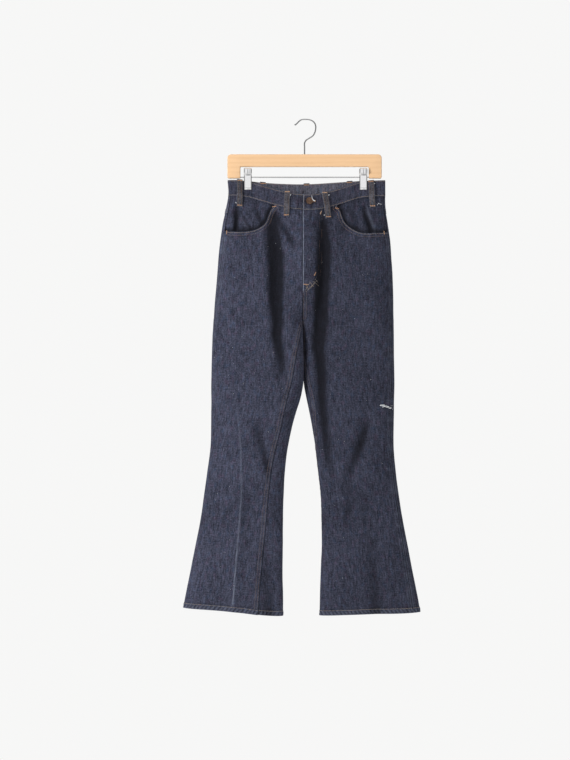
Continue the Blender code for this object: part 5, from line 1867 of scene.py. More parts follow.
@dataclass
class Waistband:
    """One folded strip around the waist, whose upper end laps over at the centre front."""

    halves: dict[Side, HalfForm]
    flat: tuple[float, float] = (0.84, 0.0385)  # width and length of the cut strip, in metres
    spacing: float = 3.0

    ROWS = (0, 0.35, 0.9, 1.6, 2.3, 3.1, 4.6, 8, 12, 16, 19.25)

    def _stretches(self) -> list[Stretch]:
        """The band from its under end, round the right half and back to its upper end."""
        right, left = self.halves[Side.RIGHT], self.halves[Side.LEFT]
        level = (BAND_TOP + BAND_SEAM) / 2
        under = np.concatenate([[LAP_UNDER, LAP_UNDER - 0.5], np.linspace(LAP_UNDER - 1.5, SEAM_GAP, 9)])
        right_round, left_round = float(right.length_at(level)), float(left.length_at(level))
        right_arcs = np.linspace(SEAM_GAP, right_round - SEAM_GAP, int(right_round / self.spacing))
        left_arcs = np.linspace(left_round - SEAM_GAP, 2.5, int(left_round / self.spacing))
        left_arcs = np.concatenate([left_arcs, [1.6, 0.9, 0.35, 0.0]])
        sunk = LAP_STEP * fall(right_arcs - LAP_CLEAR, LAP_EASE)
        return [Stretch(left, under, np.full(len(under), LAP_STEP)),
                Stretch(right, right_arcs, sunk),
                Stretch(left, left_arcs, np.zeros(len(left_arcs)))]

    def relief(self, half: HalfForm, down: Array, arc: Array) -> Relief:
        """What sewing, wear and painted shade add to the band.

        Args:
            half: The half that it lies on.
            down: Distances down from its top edge.
            arc: Arcs.

        Returns:
            The relief over the plain form.
        """
        made = Relief.plain(down + arc)
        nearest = np.minimum(down, BAND_TALL - down)
        along = arc * half.side.value
        wave = Ripple(51, 6.2, 300.0, 1.0).at(along, down * 3.0)
        roll = fall(nearest - 5.0, 6.0)
        x = half.raw(np.full(np.shape(down + arc), GRIP_LEVEL), arc + 0.0 * down)[0]
        calm = 1 - clip_hold(x, np.full(x.shape, GRIP_LEVEL))
        wide = Ripple(52, 34.0, 60.0, 0.55).at(along, down)
        # The shade term is painted shade in the grooves of the sewn rows and in a band inside each edge.
        made.add(BAND_PROUD - 0.8 * (1 - rounded(nearest, 1.3)) - 0.22 * ridge(nearest, 2.3, 0.75)
                 + (0.22 * wave * roll + wide) * calm,
                 0.30 * fall(nearest, 1.6) + 0.12 * np.clip(wave, 0, 1) * roll,
                 0.10 * ridge(nearest, 2.3, 0.9) + 0.12 * ridge(nearest, 8.0, 2.0))
        if half.side is Side.LEFT:
            # Partly painted shadow around the button, partly the dark edges of its buttonhole.
            made.add(0.0, 0.0, 0.85 * ridge(np.hypot((arc - 20.0) / 12.5, (down - 17.0) / 8.0), 0.0, 1.0))
        return made

    def on_face(self, side: Side, arc: Array, down: Array, lift: float = 0.0) -> tuple[Array, Array]:
        """Points and normals of the upper layer of the band."""
        half = self.halves[side]
        place, normal, _ = half.frame(BAND_TOP - down, arc)
        return place + normal * (self.relief(half, down, arc).out + lift)[:, None], normal

    def build(self) -> bpy.types.Object:
        """Makes the band."""
        down = np.array(self.ROWS + tuple(BAND_TALL - value for value in self.ROWS[-2::-1]))[:, None]
        outers, inners, flats, reliefs = [], [], [], []
        for half, arcs, sunk in self._stretches():
            arc = np.broadcast_to(arcs, (len(down), len(arcs)))
            place, normal, _ = half.frame(BAND_TOP - down, arc)
            relief = self.relief(half, down, arc)
            upper = half.side is Side.LEFT and not sunk.any()
            if upper:
                relief.add(-0.7 * (1 - rounded(arc, 1.2)), 0.8 * fall(arc, 2.6))
            face = relief.out - sunk
            nearest = np.minimum(down, BAND_TALL - down)
            thick = BAND_THICK - 1.5 * (1 - rounded(nearest, 1.3))
            outers.append(place + normal * face[..., None])
            inners.append(place + normal * (face - thick)[..., None])
            flats.append(np.stack([arc * half.side.value, BAND_TOP - down + 0.0 * arc], axis=-1))
            reliefs.append(relief)
        relief = Relief(*(np.concatenate([getattr(one, label) for one in reliefs], axis=1)
                          for label in ("out", "wear", "shade")))
        mesh = ClothMesh()
        mesh.wall(np.concatenate(outers, axis=1), np.concatenate(inners, axis=1),
                  np.concatenate(flats, axis=1), relief)
        lining = DenimFinish(dye=(0.088, 0.088, 0.112)).make("denim_waistband_inside")
        cloth = DenimFinish(dye=(0.0415, 0.0430, 0.0640)).make("denim_waistband")
        made = mesh.build("waistband_cloth", [cloth, lining])
        dress(made, "denim_waistband", "waistband")
        return made

    def sew(self, bright: Sewing) -> None:
        """Sews its two edges and its end."""
        for side, half in self.halves.items():
            start = 3.0 if side is Side.LEFT else 1.0
            arc = np.arange(start, float(half.length_at(-164.0)) - 1.0, SEW_STEP)
            for down in (2.3, BAND_TALL - 2.3):
                bright.row(*self.on_face(side, arc, np.full(len(arc), down)))
            behind = arc[arc > half.fold[20] + 20.0]
            place, normal = self.on_face(side, behind, np.full(len(behind), 1.7), -BAND_THICK - 0.1)
            bright.row(place, -normal)
        down = np.arange(2.3, BAND_TALL - 2.3, SEW_STEP)
        bright.row(*self.on_face(Side.LEFT, np.full(len(down), 2.4), down))


@dataclass
class BeltLoop:
    """A folded strip tacked over the band, standing off it in the middle."""

    place: LoopPlace
    halves: dict[Side, HalfForm]
    band: Waistband
    columns: int = 15
    rows: int = 40

    def __post_init__(self) -> None:
        """Works out where its middle runs."""
        front = self.place.face is Face.FRONT
        middle = (self.place.top[0] + self.place.foot[0]) / 2
        self.side = Side.RIGHT if middle < SECTIONS[0].right_inner else Side.LEFT
        self.half = self.halves[self.side]
        down = np.linspace(0.0, 1.0, 24)
        x = self.place.top[0] + (self.place.foot[0] - self.place.top[0]) * down
        z = self.place.top[1] + (self.place.foot[1] - self.place.top[1]) * down
        self.levels, self.arcs = self.half.find(x, z, front)
        self.down = down

    def _frame(self, down: Array, across: Array) -> tuple[Array, Array, Array]:
        """Points, normals and lift at a share down the loop and a distance from its middle."""
        level = np.interp(down, self.down, self.levels)
        arc = np.interp(down, self.down, self.arcs) + across
        place, normal, _ = self.half.frame(level, arc)
        over_band = eased((level - BAND_SEAM + 4.0) / 7.0)
        wave = Ripple(61, 7.0, 5.0, 0.16).at(level, across)
        lift = (0.35 + BAND_PROUD * over_band + 1.9 * np.sin(math.pi * np.clip(down, 0, 1)) ** 0.7
                + 0.5 * ridge(across, 0.0, 4.0) + wave)
        return place, normal, lift

    def build(self) -> bpy.types.Object:
        """Makes the loop."""
        half_wide = LOOP_WIDE / 2
        share, shift = near_edge(self.columns - 8, (0.0, 0.4, 1.0, 1.8), (0.0, 0.4, 1.0, 1.8))
        across = (share * LOOP_WIDE + shift - half_wide)[None, :]
        share, shift = near_edge(self.rows - 8, (0.0, 0.4, 1.1, 2.2), (0.0, 0.4, 1.1, 2.2))
        down = (share + shift / LOOP_LONG)[:, None]
        down, across = np.broadcast_arrays(down, across)
        place, normal, lift = self._frame(down, across)
        from_side = half_wide - abs(across)
        from_end = np.minimum(down, 1 - down) * LOOP_LONG
        nearest = np.minimum(from_side, from_end)
        top = LOOP_THICK - 1.0 * (1 - rounded(nearest, 1.2)) - 0.22 * ridge(from_side, 2.8, 0.7)
        relief = Relief.plain(down)
        patch = Ripple(62, 3.0, 9.0, 0.35).at(across, down * LOOP_LONG)
        # Whitened edges and patches from wear, and painted shade in the grooves of its sewn rows.
        relief.add(0.0, 0.5 * fall(from_side, 1.3) + 0.45 * fall(from_end, 1.6)
                   + np.clip(patch, 0, 1) * 0.5, 0.22 * ridge(from_side, 2.8, 0.8))
        outer = place + normal * (lift + top)[..., None]
        inner = place + normal * (lift - 0.1 * rounded(nearest, 1.2))[..., None]
        mesh = ClothMesh()
        flat = np.stack([across + 40.0, down * LOOP_LONG], axis=-1)
        mesh.wall(outer, inner, flat, relief)
        slot = "denim_" + self.place.name
        cloth = DenimFinish(dye=(0.066, 0.062, 0.070)).make(slot)
        made = mesh.build(self.place.name + "_strip", [cloth, cloth])
        dress(made, slot, self.place.name)
        return made

    def sew(self, dull: Sewing, tacks: Sewing) -> None:
        """Sews its two rows and tacks its ends."""
        down = np.linspace(0.03, 0.97, 60)
        for across in (-LOOP_WIDE / 2 + 2.8, LOOP_WIDE / 2 - 2.8):
            place, normal, lift = self._frame(down, np.full(60, across))
            dull.row(place + normal * (lift + LOOP_THICK - 0.1)[:, None], normal)
        for end in (0.045, 0.955):
            place, normal, lift = self._frame(np.array([end]), np.array([0.0]))
            spot = place[0] + normal[0] * (lift[0] + LOOP_THICK - 0.25)
            tacks.tack(spot, normal[0], np.array([1.0, 0.0, 0.0]), LOOP_WIDE - 2.6, 2.8)
        if self.place.face is Face.BACK:
            place, normal = self.band.on_face(self.side, self.arcs[:1], np.array([1.6]), -BAND_THICK - 0.2)
            tacks.tack(place[0], -normal[0], np.array([1.0, 0.0, 0.0]), LOOP_WIDE - 2.0, 2.8)


def edit(on: bool) -> None:
    """Starts or ends the edit mode of the active object."""
    bpy.ops.object.mode_set(mode="EDIT" if on else "OBJECT")


def deselect() -> None:
    """Leaves nothing selected."""
    bpy.ops.object.select_all(action="DESELECT")


def settle(name: str, finish: bpy.types.Material, angle: float = 35.0) -> bpy.types.Object:
    """Ends the modelling of the active object: its place goes into its mesh, and it is shaded.

    Args:
        name: Its name.
        finish: Its material.
        angle: Edges sharper than this many degrees stay sharp.

    Returns:
        The object.
    """
    made = bpy.context.object
    bpy.ops.object.transform_apply()
    bpy.ops.object.shade_smooth_by_angle(angle=math.radians(angle))
    made.name = name
    made.data.name = name
    made.data.materials.clear()
    made.data.materials.append(finish)
    return made


def apply_modifier(kind: str, **settings: Any) -> None:
    """Adds a modifier to the active object and applies it."""
    modifier = bpy.context.object.modifiers.new(kind.lower(), kind)
    for name, value in settings.items():
        setattr(modifier, name, value)
    bpy.ops.object.modifier_apply(modifier=modifier.name)


class Pick:
    """Selects parts of the mesh in edit mode by a test in code."""

    @staticmethod
    def parts(kind: str, test: Any) -> None:
        """Selects the faces or edges that pass a test of each one."""
        bpy.ops.mesh.select_mode(type=kind)
        bpy.ops.mesh.select_all(action="DESELECT")
        mesh = bmesh.from_edit_mesh(bpy.context.object.data)
        for part in mesh.faces if kind == "FACE" else mesh.edges:
            part.select = bool(test(part))
        mesh.select_flush_mode()
        bmesh.update_edit_mesh(bpy.context.object.data)

    @classmethod
    def faces(cls, test: Any) -> None:
        """Selects the faces that pass a test of their centre and normal."""
        cls.parts("FACE", lambda face: test(face.calc_center_median(), face.normal))

    @classmethod
    def edges(cls, test: Any) -> None:
        """Selects the edges that pass a test of their two ends."""
        cls.parts("EDGE", lambda edge: test(edge.verts[0].co, edge.verts[1].co))

    @staticmethod
    def all() -> None:
        """Selects the whole mesh."""
        bpy.ops.mesh.select_all(action="SELECT")


@dataclass
class WaistButton:
    """Turned metal button on the lapped end of the band, and its worn buttonhole."""

    band: Waistband
    radius: float = BUTTON_RADIUS
    rim: float = 1.5
    dish: float = 0.7
    tall: float = 2.4
    segments: int = 56

    # Bared threads of the buttonhole's end, as (across, height) points
    CURL = ((17, -184), (17.4, -188), (18.6, -191.8), (21.5, -194.8), (26.5, -196.8))

    def _seat(self) -> tuple[Array, Array]:
        """Its place on the band, and the band's normal there."""
        half = self.band.halves[Side.LEFT]
        level, arc = half.find(*BUTTON_AT)
        place, normal = self.band.on_face(Side.LEFT, arc, BAND_TOP - level)
        return place[0], normal[0]

    def build(self) -> bpy.types.Object:
        """Makes the button."""
        place, normal = self._seat()
        deselect()
        bpy.ops.mesh.primitive_cylinder_add(
            vertices=self.segments, radius=self.radius * MM, depth=self.tall * MM,
            location=(0.0, 0.0, self.tall / 2 * MM))
        bpy.ops.object.transform_apply()
        edit(True)
        for inset, rise in ((self.rim, -self.dish), (1.6, 0.0), (0.35, 0.45), (1.0, 0.28), (1.6, 0.16)):
            Pick.faces(lambda centre, facing: facing.z > 0.9 and centre.xy.length < 1e-5)
            bpy.ops.mesh.inset(thickness=inset * MM, depth=rise * MM)
        Pick.edges(lambda a, b: abs(a.z - b.z) < 1e-6 and abs(a.xy.length - b.xy.length) < 1e-6
                   and a.xy.length > self.radius * MM * 0.75)
        bpy.ops.mesh.bevel(offset=0.38 * MM, segments=3, affect="EDGES")
        edit(False)
        made = bpy.context.object
        turn = Vector((0.0, 0.0, 1.0)).rotation_difference(Vector(normal))
        made.rotation_mode = "QUATERNION"
        made.rotation_quaternion = turn
        made.location = Vector((place + normal * 0.35) * MM)
        copper = MetalFinish((0.27, 0.165, 0.115), 0.46, (0.06, 0.042, 0.036), 0.5, 420.0)
        made = settle("button_face", copper.make("copper"), 30.0)
        dress(made, "copper", "waist_button")
        return made

    def buttonhole(self, sewing: Sewing, frayed: Sewing) -> None:
        """Sews the buttonhole beside the button, with its frayed end."""
        place, normal = self._seat()
        along = unit(np.array([1.0, 0.0, -0.05]) - normal * normal[0])
        across = np.cross(normal, along)
        count = 24
        spots = np.linspace(1.0, 15.0, count)
        for edge in (-1.3, 1.3):
            starts = place + along * spots[:, None] + across * edge * 0.35 + normal * 0.25
            ends = starts + across * edge * 1.3 + along * 0.15
            sewing.strands(starts, ends, normal, np.full(count, 0.30), np.full(count, 0.25))
        random = np.random.default_rng(17)
        up = unit(np.array([0.0, 0.0, 1.0]) - normal * normal[2])
        side = np.cross(up, normal)
        side = side * np.sign(side[0])
        curl = finer(np.array(self.CURL), 0.9)
        count = 110
        start = random.integers(0, len(curl) - 4, count)
        end = start + random.integers(2, 4, count)
        spread = random.uniform(-0.9, 0.9, (count, 1))
        ends = [place + side * (curl[at, :1] - BUTTON_AT[0]) + up * (curl[at, 1:] - BUTTON_AT[1] + spread)
                + normal * 1.9 for at in (start, end)]
        frayed.strands(*ends, normal, random.uniform(0.30, 0.46, count), random.uniform(0.2, 0.8, count))


@dataclass
class Wear:
    """The frayed slit at the left knee's outer edge, and lint on the cloth."""

    front: dict[Side, FrontPanel]
    lint: int = 42

    # Bundles of bared weft: (across, height), length, how many strands
    BUNDLES = (
        ((186, -684), 11, 9), ((192.5, -686.5), 9, 7), ((199, -688.5), 10, 9),
        ((206, -690.5), 9, 8), ((212, -692.5), 7, 7), ((189, -688), 8, 4),
        ((209, -687), 8, 4),
    )

    # Loose ends of thread at the belt loops: half, (across, height), spread, how many strands
    ENDS = (
        (Side.RIGHT, (-33, -181.7), 3.4, 9), (Side.LEFT, (57.4, -181.7), 3.4, 9),
        (Side.LEFT, (46.6, -229.2), 3, 6), (Side.RIGHT, (-164.6, -199.7), 3, 8),
        (Side.LEFT, (167.4, -153.4), 3, 7), (Side.LEFT, (173.6, -205), 3.4, 4),
        (Side.LEFT, (178.2, -202.2), 3.6, 5), (Side.LEFT, (182.6, -203.4), 3.4, 4),
    )

    def loose_ends(self, frayed: Sewing) -> None:
        """Adds the loose ends of thread at the belt loops."""
        random = np.random.default_rng(29)
        for side, (x, z), spread, count in self.ENDS:
            panel = self.front[side]
            place, normal, _ = panel.form.frame(*panel.form.find(x, z))
            jump = random.uniform(-spread / 2, spread / 2, (2, count, 3)) * (1.0, 0.25, 1.0)
            middle = place + normal * 2.6
            frayed.strands(middle + jump[0], middle + jump[1], normal,
                           random.uniform(0.30, 0.46, count), random.uniform(0.3, 0.9, count))

    def fray(self, frayed: Sewing) -> None:
        """Adds the bared threads of the slit."""
        random = np.random.default_rng(23)
        panel = self.front[Side.LEFT]
        for (x, z), length, count in self.BUNDLES:
            across = x + random.uniform(-2.0, 2.0, count) - length / 2
            height = z + random.uniform(-1.6, 1.6, count)
            level, arc = panel.form.find(across, height)
            reach = length * random.uniform(0.6, 1.1, count)
            drop = random.uniform(-0.8, 0.8, count)
            starts, normals = panel.on_face(line_of(arc, level), 0.2)
            ends, _ = panel.on_face(line_of(arc + reach, level - drop), 0.2)
            frayed.strands(starts, ends, normals, random.uniform(0.30, 0.48, count),
                           random.uniform(0.4, 1.5, count))

    def scatter(self, frayed: Sewing) -> None:
        """Scatters lint over both fronts."""
        random = np.random.default_rng(31)
        for panel in self.front.values():
            level = random.uniform(-1160.0, -290.0, self.lint)
            start, end = panel.form.inseam_at(level), panel.form.outseam_at(level)
            arc = start + (end - start) * random.uniform(0.06, 0.94, self.lint)
            starts, normals = panel.on_face(line_of(arc, level), 0.15)
            turn = random.uniform(0, math.pi, self.lint)
            length = random.uniform(0.8, 2.6, self.lint)
            ends, _ = panel.on_face(line_of(arc + np.cos(turn) * length, level + np.sin(turn) * length), 0.15)
            frayed.strands(starts, ends, normals, random.uniform(0.10, 0.24, self.lint),
                           random.uniform(0.1, 0.5, self.lint))


@dataclass
class Hanger:
    """Wooden bar, wire hook, rod and two sprung clips, in millimetres."""

    corner: float = 9.0
    foot_corner: float = 4.0
    edge: float = 2.2
    rod_radius: float = 1.5
    wire_radius: float = 1.5
    plate: float = 1.2
    jaw_steps: int = 34

    # Painted dark reflections and shade on a clip's chrome, from its middle: X, Z, reach in X, reach in Z,
    # strength
    PAINTED_REFLECTIONS = ((2, -132.6, 9.5, 1.3, 0.95), (0, -162.7, 40, 0.8, 0.3), (0, -118.5, 40, 0.7, 0.4),
              (0.2, -124.6, 1.5, 9, 0.6), (4.6, -124, 1.2, 8, 0.4), (7.6, -124, 1, 9, 0.5),
              (1.8, -167.6, 5.5, 4.6, 0.3))

    def build(self) -> None:
        """Makes every piece of the hanger."""
        self._bar()
        self._rod()
        self._hook()
        for x, word in zip(CLIP_X, ("right", "left")):
            painted_reflections = tuple(tuple(value * MM for value in (x + row[0], *row[1:4])) + row[4:]
                           for row in self.PAINTED_REFLECTIONS)
            chrome = MetalFinish((0.86, 0.855, 0.865), 0.10, tarnished=0.05, painted_reflections=painted_reflections)
            for facing, end in ((-1, "front"), (1, "back")):
                self._jaw(f"clip_{word}_{end}", x, facing, chrome.make(f"clip_chrome_{word}_{end}"))
            self._spring(f"clip_{word}_spring", x)

    def _bar(self) -> None:
        """Makes the bar: a board with its ends extruded down and its edges eased."""
        inner = (BAR_HALF - BAR_END_WIDE) * MM
        tall = (BAR_TOP - BAR_UNDER) * MM
        deselect()
        bpy.ops.mesh.primitive_cube_add(size=1.0, location=(0, 0, (BAR_TOP + BAR_UNDER) / 2 * MM),
                                        scale=(2 * BAR_HALF * MM, BAR_DEEP * MM, tall))
        bpy.ops.object.transform_apply()
        edit(True)
        for x in (-inner, inner):
            Pick.all()
            bpy.ops.mesh.bisect(plane_co=(x, 0, 0), plane_no=(1, 0, 0))
        for way in (-1, 1):
            Pick.faces(lambda centre, facing: facing.z < -0.9 and centre.x * way > inner)
            bpy.ops.mesh.extrude_region_move(
                TRANSFORM_OT_translate={"value": (0, 0, (BAR_END_FOOT - BAR_UNDER) * MM)})
        half = BAR_HALF * MM
        for height, radius in ((BAR_TOP, self.corner), (BAR_END_FOOT, self.foot_corner)):
            level = height * MM
            Pick.edges(lambda a, b: abs(abs(a.x) - half) < 1e-5 and abs(a.x - b.x) < 1e-5
                       and abs(a.z - level) < 1e-5 and abs(b.z - level) < 1e-5)
            bpy.ops.mesh.bevel(offset=radius * MM, segments=8, affect="EDGES")
        self._ease_rims()
        edit(False)
        made = settle("bar_wood", WoodFinish().make("beech"), 50.0)
        dress(made, "beech", "hanger_bar")

    def _ease_rims(self) -> None:
        """Rounds the outline on both faces of the board."""
        face = BAR_DEEP / 2 * MM
        Pick.parts("EDGE", lambda edge: all(abs(abs(corner.co.y) - face) < 1e-5 for corner in edge.verts)
                   and len(edge.link_faces) == 2 and edge.calc_face_angle() > 1.0)
        bpy.ops.mesh.bevel(offset=self.edge * MM, segments=4, affect="EDGES")

    def _rod(self) -> None:
        """Makes the rod, with eased ends."""
        reach = BAR_HALF - BAR_END_WIDE - SEAM_GAP
        deselect()
        bpy.ops.mesh.primitive_cylinder_add(vertices=28, radius=self.rod_radius * MM, depth=2 * reach * MM,
                                            location=(0, 0, ROD_LEVEL * MM),
                                            rotation=(0, math.pi / 2, 0))
        bpy.ops.object.transform_apply()
        edit(True)
        Pick.faces(lambda centre, facing: abs(facing.x) > 0.9)
        bpy.ops.mesh.inset(thickness=0.3 * MM, depth=0.2 * MM)
        edit(False)
        steel = MetalFinish((0.62, 0.62, 0.63), 0.24)
        dress(settle("rod_wire", steel.make("rod_steel")), "rod_steel", "hanger_rod")

    def _hook(self) -> None:
        """Makes the hook: a bent wire with a small ball at its tip."""
        deselect()
        bpy.ops.curve.primitive_nurbs_path_add()
        curve = bpy.context.object.data
        curve.splines.clear()
        path = finer(np.array(HOOK_PATH), 1.4)
        spline = curve.splines.new("POLY")
        spline.points.add(len(path) - 1)
        for point, (x, z) in zip(spline.points, path):
            point.co = (x * MM, 0.0, z * MM, 1.0)
        curve.dimensions = "3D"
        curve.bevel_depth = self.wire_radius * MM
        curve.bevel_resolution = 6
        curve.use_fill_caps = True
        bpy.ops.object.convert(target="MESH")
        wire = bpy.context.object
        tip = path[-1]
        deselect()
        bpy.ops.mesh.primitive_uv_sphere_add(segments=20, ring_count=12, radius=2.1 * MM,
                                             location=(tip[0] * MM, 0, tip[1] * MM))
        bpy.ops.transform.resize(value=(1.1, 0.9, 0.9))
        wire.select_set(True)
        bpy.context.view_layer.objects.active = wire
        bpy.ops.object.join()
        chrome = MetalFinish((0.44, 0.44, 0.45), 0.32)
        dress(settle("hook_wire", chrome.make("hook_chrome")), "hook_chrome", "hanger_hook")

    def _jaw(self, name: str, x: float, facing: int, finish: bpy.types.Material) -> None:
        """Makes one plate of a clip: a rolled finger pad, a waist at the rod and a flat jaw.

        Args:
            name: The solid that it stands for.
            x: Its place across.
            facing: -1 in front and 1 behind.
            finish: Its metal.
        """
        profile = finer(np.array(JAW_PATH), 52.0 / self.jaw_steps)
        profile[:, 0] += 0.3 * ridge(profile[:, 1], -163.4, 1.4)
        deselect()
        start = (x * MM, facing * profile[0, 0] * MM, profile[0, 1] * MM)
        bpy.ops.mesh.primitive_plane_add(size=CLIP_WIDE * MM, location=start)
        bpy.ops.object.transform_apply()
        edit(True)
        Pick.edges(lambda a, b: a.y < start[1] and b.y < start[1])
        bpy.ops.mesh.delete(type="VERT")
        Pick.all()
        bpy.ops.transform.translate(value=(0, -CLIP_WIDE / 2 * MM, 0))
        bpy.ops.mesh.subdivide(number_cuts=11)
        Pick.all()
        for before, after in zip(profile[:-1], profile[1:]):
            step = (after - before) * MM
            bpy.ops.mesh.extrude_region_move(
                TRANSFORM_OT_translate={"value": (0, facing * step[0], step[1])})
        self._bow(x * MM, facing)
        Pick.all()
        bpy.ops.mesh.normals_make_consistent(inside=False)
        edit(False)
        sheet = bpy.context.object
        outward = sum(polygon.normal.y * polygon.area for polygon in sheet.data.polygons) * facing
        apply_modifier("SOLIDIFY", thickness=self.plate * MM, offset=1.0 if outward > 0 else -1.0)
        apply_modifier("BEVEL", width=0.35 * MM, segments=3, limit_method="ANGLE",
                       angle_limit=math.radians(50))
        _, word, end = name.split("_")
        dress(settle(f"clip_{word}_jaw_{end}", finish, 40.0), f"clip_chrome_{word}_{end}", name)

    @staticmethod
    def _bow(middle: float, facing: int) -> None:
        """Bows a plate's face out of its plane, and presses two flutes into its finger pad."""
        for reach, out in ((8.0, 0.45), (6.8, 0.25)):
            Pick.edges(lambda a, b: max(abs(a.x - middle), abs(b.x - middle)) < reach * MM)
            bpy.ops.transform.translate(value=(0, facing * out * MM, 0))
        for across in (-1.5, 1.5):
            line = middle + across * MM
            Pick.edges(lambda a, b: max(abs(a.x - line), abs(b.x - line)) < 0.2 * MM
                       and max(a.z, b.z) < -118.6 * MM and min(a.z, b.z) > -130.0 * MM)
            bpy.ops.transform.translate(value=(0, -facing * 0.4 * MM, 0))

    def _spring(self, node: str, x: float) -> None:
        """Makes a clip's coil spring around the rod."""
        turns, wire, radius, long = 7, 0.75, 3.5, 13.0
        start = (x * MM - (long / 2 - wire) * MM, 0, (ROD_LEVEL + radius) * MM)
        deselect()
        bpy.ops.mesh.primitive_circle_add(vertices=10, radius=wire * MM, fill_type="NOTHING", location=start)
        bpy.ops.object.transform_apply()
        edit(True)
        Pick.all()
        for around in ("Y", "Z"):
            bpy.ops.transform.rotate(value=math.pi / 2, orient_axis=around, center_override=start)
        edit(False)
        axis = bpy.data.objects.new("spring_axis", None)
        axis.location = (x * MM, 0, ROD_LEVEL * MM)
        bpy.context.scene.collection.objects.link(axis)
        apply_modifier("SCREW", axis="X", angle=2 * math.pi * turns, steps=20 * turns,
                       render_steps=20 * turns, screw_offset=(long - 2 * wire) * MM,
                       object=axis, use_merge_vertices=False)
        bpy.data.objects.remove(axis)
        edit(True)
        Pick.all()
        bpy.ops.mesh.remove_doubles(threshold=0.00002)
        bpy.ops.mesh.select_all(action="DESELECT")
        bpy.ops.mesh.select_non_manifold()
        bpy.ops.mesh.edge_face_add()
        Pick.all()
        bpy.ops.mesh.normals_make_consistent(inside=False)
        edit(False)
        word = "right" if x < 0 else "left"
        steel = MetalFinish((0.55, 0.55, 0.56), 0.28)
        dress(settle(f"spring_coil_{word}", steel.make(f"spring_steel_{word}")),
              f"spring_steel_{word}", node)


@dataclass
class Studio:
    """Pale floor, soft light and the camera, in metres."""

    middle: tuple[float, float] = (-0.047, -0.624)
    distance: float = 6.0
    field_wide: float = 1.368
    sensor: float = 36.0
    floor_level: float = -1.95
    floor_radius: float = 1.25

    def build(self) -> None:
        """Makes the stage."""
        self._floor()
        self._world()
        self._lamp("key", (-3.4, -2.7, 0.7), (1.4, 2.4), 188.0)
        self._lamp("fill", (3.8, -2.4, 0.2), (2.0, 2.6), 52.0)
        self._lamp("rear", (1.6, 3.2, 0.8), (2.2, 2.2), 40.0)
        self._camera()
        bpy.context.scene.view_settings.view_transform = "Standard"

    def _floor(self) -> None:
        """Makes the floor, a thin round slab."""
        deselect()
        bpy.ops.mesh.primitive_cylinder_add(vertices=128, radius=self.floor_radius, depth=0.02,
                                            location=(0, 0, self.floor_level - 0.01))
        edit(True)
        Pick.edges(lambda a, b: a.z > 0 and b.z > 0)
        bpy.ops.mesh.bevel(offset=0.004, segments=3, affect="EDGES")
        edit(False)
        settle("floor", PlainFinish().make("floor_paint"))

    @staticmethod
    def _world() -> None:
        """Makes a white surround, dimmer as a light than it looks."""
        world = bpy.data.worlds.new("surround")
        bpy.context.scene.world = world
        board = Board("surround", world)
        across, _, _ = board.split(board.node("ShaderNodeTexCoord", output="Generated"))
        sides = board.node("ShaderNodeMapRange", {"interpolation_type": "SMOOTHSTEP"},
                           {"Value": across.size(), "From Min": 0.15, "From Max": 0.60,
                            "To Min": 0.95, "To Max": 0.16})
        mirrored, lights, seen = (
            board.node("ShaderNodeBackground", {}, {"Color": (1.0, 1.0, 0.995, 1.0), "Strength": strength})
            for strength in (sides, 0.30, 0.93))
        shown = mirrored
        for ray, other in (("Is Diffuse Ray", lights), ("Is Camera Ray", seen)):
            chosen = board.node("ShaderNodeLightPath", output=ray)
            shown = board.node("ShaderNodeMixShader", {}, {0: chosen, 1: shown, 2: other})
        board.add("ShaderNodeOutputWorld", {}, {"Surface": shown})

    def _lamp(self, name: str, place: tuple[float, float, float], size: tuple[float, float],
              power: float) -> None:
        """Adds a soft lamp that faces the garment.

        Args:
            name: Its name.
            place: Where it stands.
            size: Width and height of its face.
            power: In watts.
        """
        light = bpy.data.lights.new(name, "AREA")
        light.shape = "RECTANGLE"
        light.size, light.size_y = size
        light.energy = power
        lamp = bpy.data.objects.new(name, light)
        bpy.context.scene.collection.objects.link(lamp)
        lamp.location = place
        aim = Vector((self.middle[0], 0.0, self.middle[1])) - Vector(place)
        lamp.visible_glossy = False
        lamp.rotation_euler = aim.to_track_quat("-Z", "Y").to_euler()

    def _camera(self) -> None:
        """Sets the camera square to the front."""
        camera = bpy.data.objects.new("camera", bpy.data.cameras.new("camera"))
        bpy.context.scene.collection.objects.link(camera)
        camera.location = (self.middle[0], -self.distance, self.middle[1])
        camera.rotation_euler = (math.pi / 2, 0.0, 0.0)
        camera.data.sensor_fit = "HORIZONTAL"
        camera.data.sensor_width = self.sensor
        camera.data.lens = self.sensor * self.distance / self.field_wide
        camera.data.clip_end = 50.0
        bpy.context.scene.camera = camera


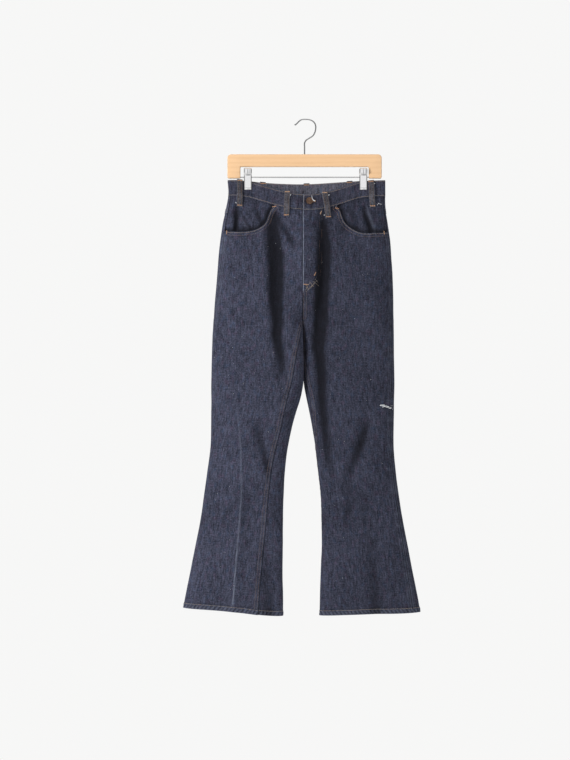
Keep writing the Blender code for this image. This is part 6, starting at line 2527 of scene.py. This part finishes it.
@dataclass
class Jeans:
    """The garment: its panels, band, loops, pockets, button and sewing."""

    halves: dict[Side, HalfForm] = field(default_factory=lambda: {side: HalfForm(side) for side in Side})

    # Flat size of each cut piece, width and length in metres, and its area in square metres
    CUTS = {
        "front": (0.262, 1.000, 0.206), "facing": (0.130, 0.105, 0.0111),
        "yoke": (0.215, 0.090, 0.0133), "back": (0.292, 0.975, 0.229), "pocket": (0.146, 0.156, 0.0206),
    }

    def _piece(self, kind: type, side: Side, word: str, node: str, **extra: Any) -> ClothPiece:
        """One cut piece of a half."""
        name = side.name.lower()
        wide, long, area = self.CUTS[word]
        return kind(self.halves[side], f"{node}_{name}_cloth", f"{node}_{name}", f"denim_{word}_{name}",
                    (wide, long), area, **extra)

    def build(self) -> None:
        """Makes the garment."""
        bright, dull = Sewing("topstitching"), Sewing("seam_stitching", Thread(radius=0.26))
        tacks = Sewing("bar_tacks")
        frayed = Sewing("bared_threads", Thread(radius=0.22))
        band = Waistband(self.halves)
        band.build()
        band.sew(bright)
        fronts = {}
        for side in Side:
            front = self._piece(FrontPanel, side, "front", "front_panel")
            fronts[side] = front
            facing = self._piece(PocketFacing, side, "facing", "pocket_facing", front=front, dye=0.92)
            pieces = [front, facing, self._piece(Yoke, side, "yoke", "yoke", face=Face.BACK),
                      self._piece(BackPanel, side, "back", "back_panel", face=Face.BACK),
                      self._piece(BackPocket, side, "pocket", "back_pocket", dye=1.04, face=Face.BACK)]
            for piece in pieces:
                piece.build()
                piece.sew(bright, dull)
        for place in LOOPS:
            loop = BeltLoop(place, self.halves, band)
            loop.build()
            loop.sew(dull, tacks)
        button = WaistButton(band)
        button.build()
        button.buttonhole(tacks, frayed)
        self._tack(fronts, tacks, bright)
        wear = Wear(fronts)
        wear.fray(frayed)
        wear.loose_ends(frayed)
        wear.scatter(frayed)
        dress(bright.build(ThreadFinish().make("topstitch_thread")), "denim_waistband")
        aged = ThreadFinish((0.30, 0.165, 0.095), (0.17, 0.15, 0.15), 0.5)
        dress(dull.build(aged.make("seam_thread")), "denim_waistband")
        dress(tacks.build(ThreadFinish((0.52, 0.26, 0.145), (0.60, 0.44, 0.31), 0.4).make("tack_thread")),
              "denim_waistband")
        pale = ThreadFinish((0.93, 0.94, 0.96), (0.80, 0.83, 0.88), 0.4)
        dress(frayed.build(pale.make("bared_weft")), "denim_waistband")

    # Bar tacks on the fronts: half, (across, height), direction in X and Z, length
    TACKS = (
        (Side.RIGHT, (-72.7, -208.6), (1, 0.15), 9), (Side.LEFT, (77.3, -212.9), (1, -0.15), 9),
        (Side.RIGHT, (-186.5, -270.5), (0, 1), 8), (Side.LEFT, (190.5, -271.5), (0, 1), 8),
        (Side.LEFT, (3, -396), (1, -0.1), 11), (Side.LEFT, (24, -371), (0.55, 0.83), 9),
        (Side.LEFT, (38.5, -223.5), (0.3, 1), 8),
    )

    # Crossing rows of mending at the foot of the fly, as (across, height) ends
    MENDING = (
        ((2.5, -414), (24, -391)), ((3, -405), (14, -389)), ((13, -405), (30, -384)),
        ((19, -388), (35, -400)), ((12, -390), (22, -404)), ((3, -397), (12, -412)),
        ((24, -383), (33, -393)), ((2, -410), (8, -401)),
    )

    def _tack(self, fronts: dict[Side, FrontPanel], tacks: Sewing, bright: Sewing) -> None:
        """Adds the bar tacks of the pockets and the fly, and the mending at its foot."""
        for side, (x, z), (run, climb), length in self.TACKS:
            level, arc = self.halves[side].find(x, z)
            place, normal = fronts[side].on_face(line_of(arc, level))
            tacks.tack(place[0], normal[0], np.array([run, 0.0, climb]), length, 2.4)
        for ends in self.MENDING:
            path = finer(self.halves[Side.LEFT].flat_path(ends, True), 1.0)
            bright.row(*fronts[Side.LEFT].on_face(path, 0.1))


def main() -> None:
    """Builds everything in its place and notes the sizes."""
    logging.basicConfig(level=logging.INFO, format="%(name)s %(message)s")
    Jeans().build()
    Hanger().build()
    Studio().build()


if __name__ == "__main__":
    main()
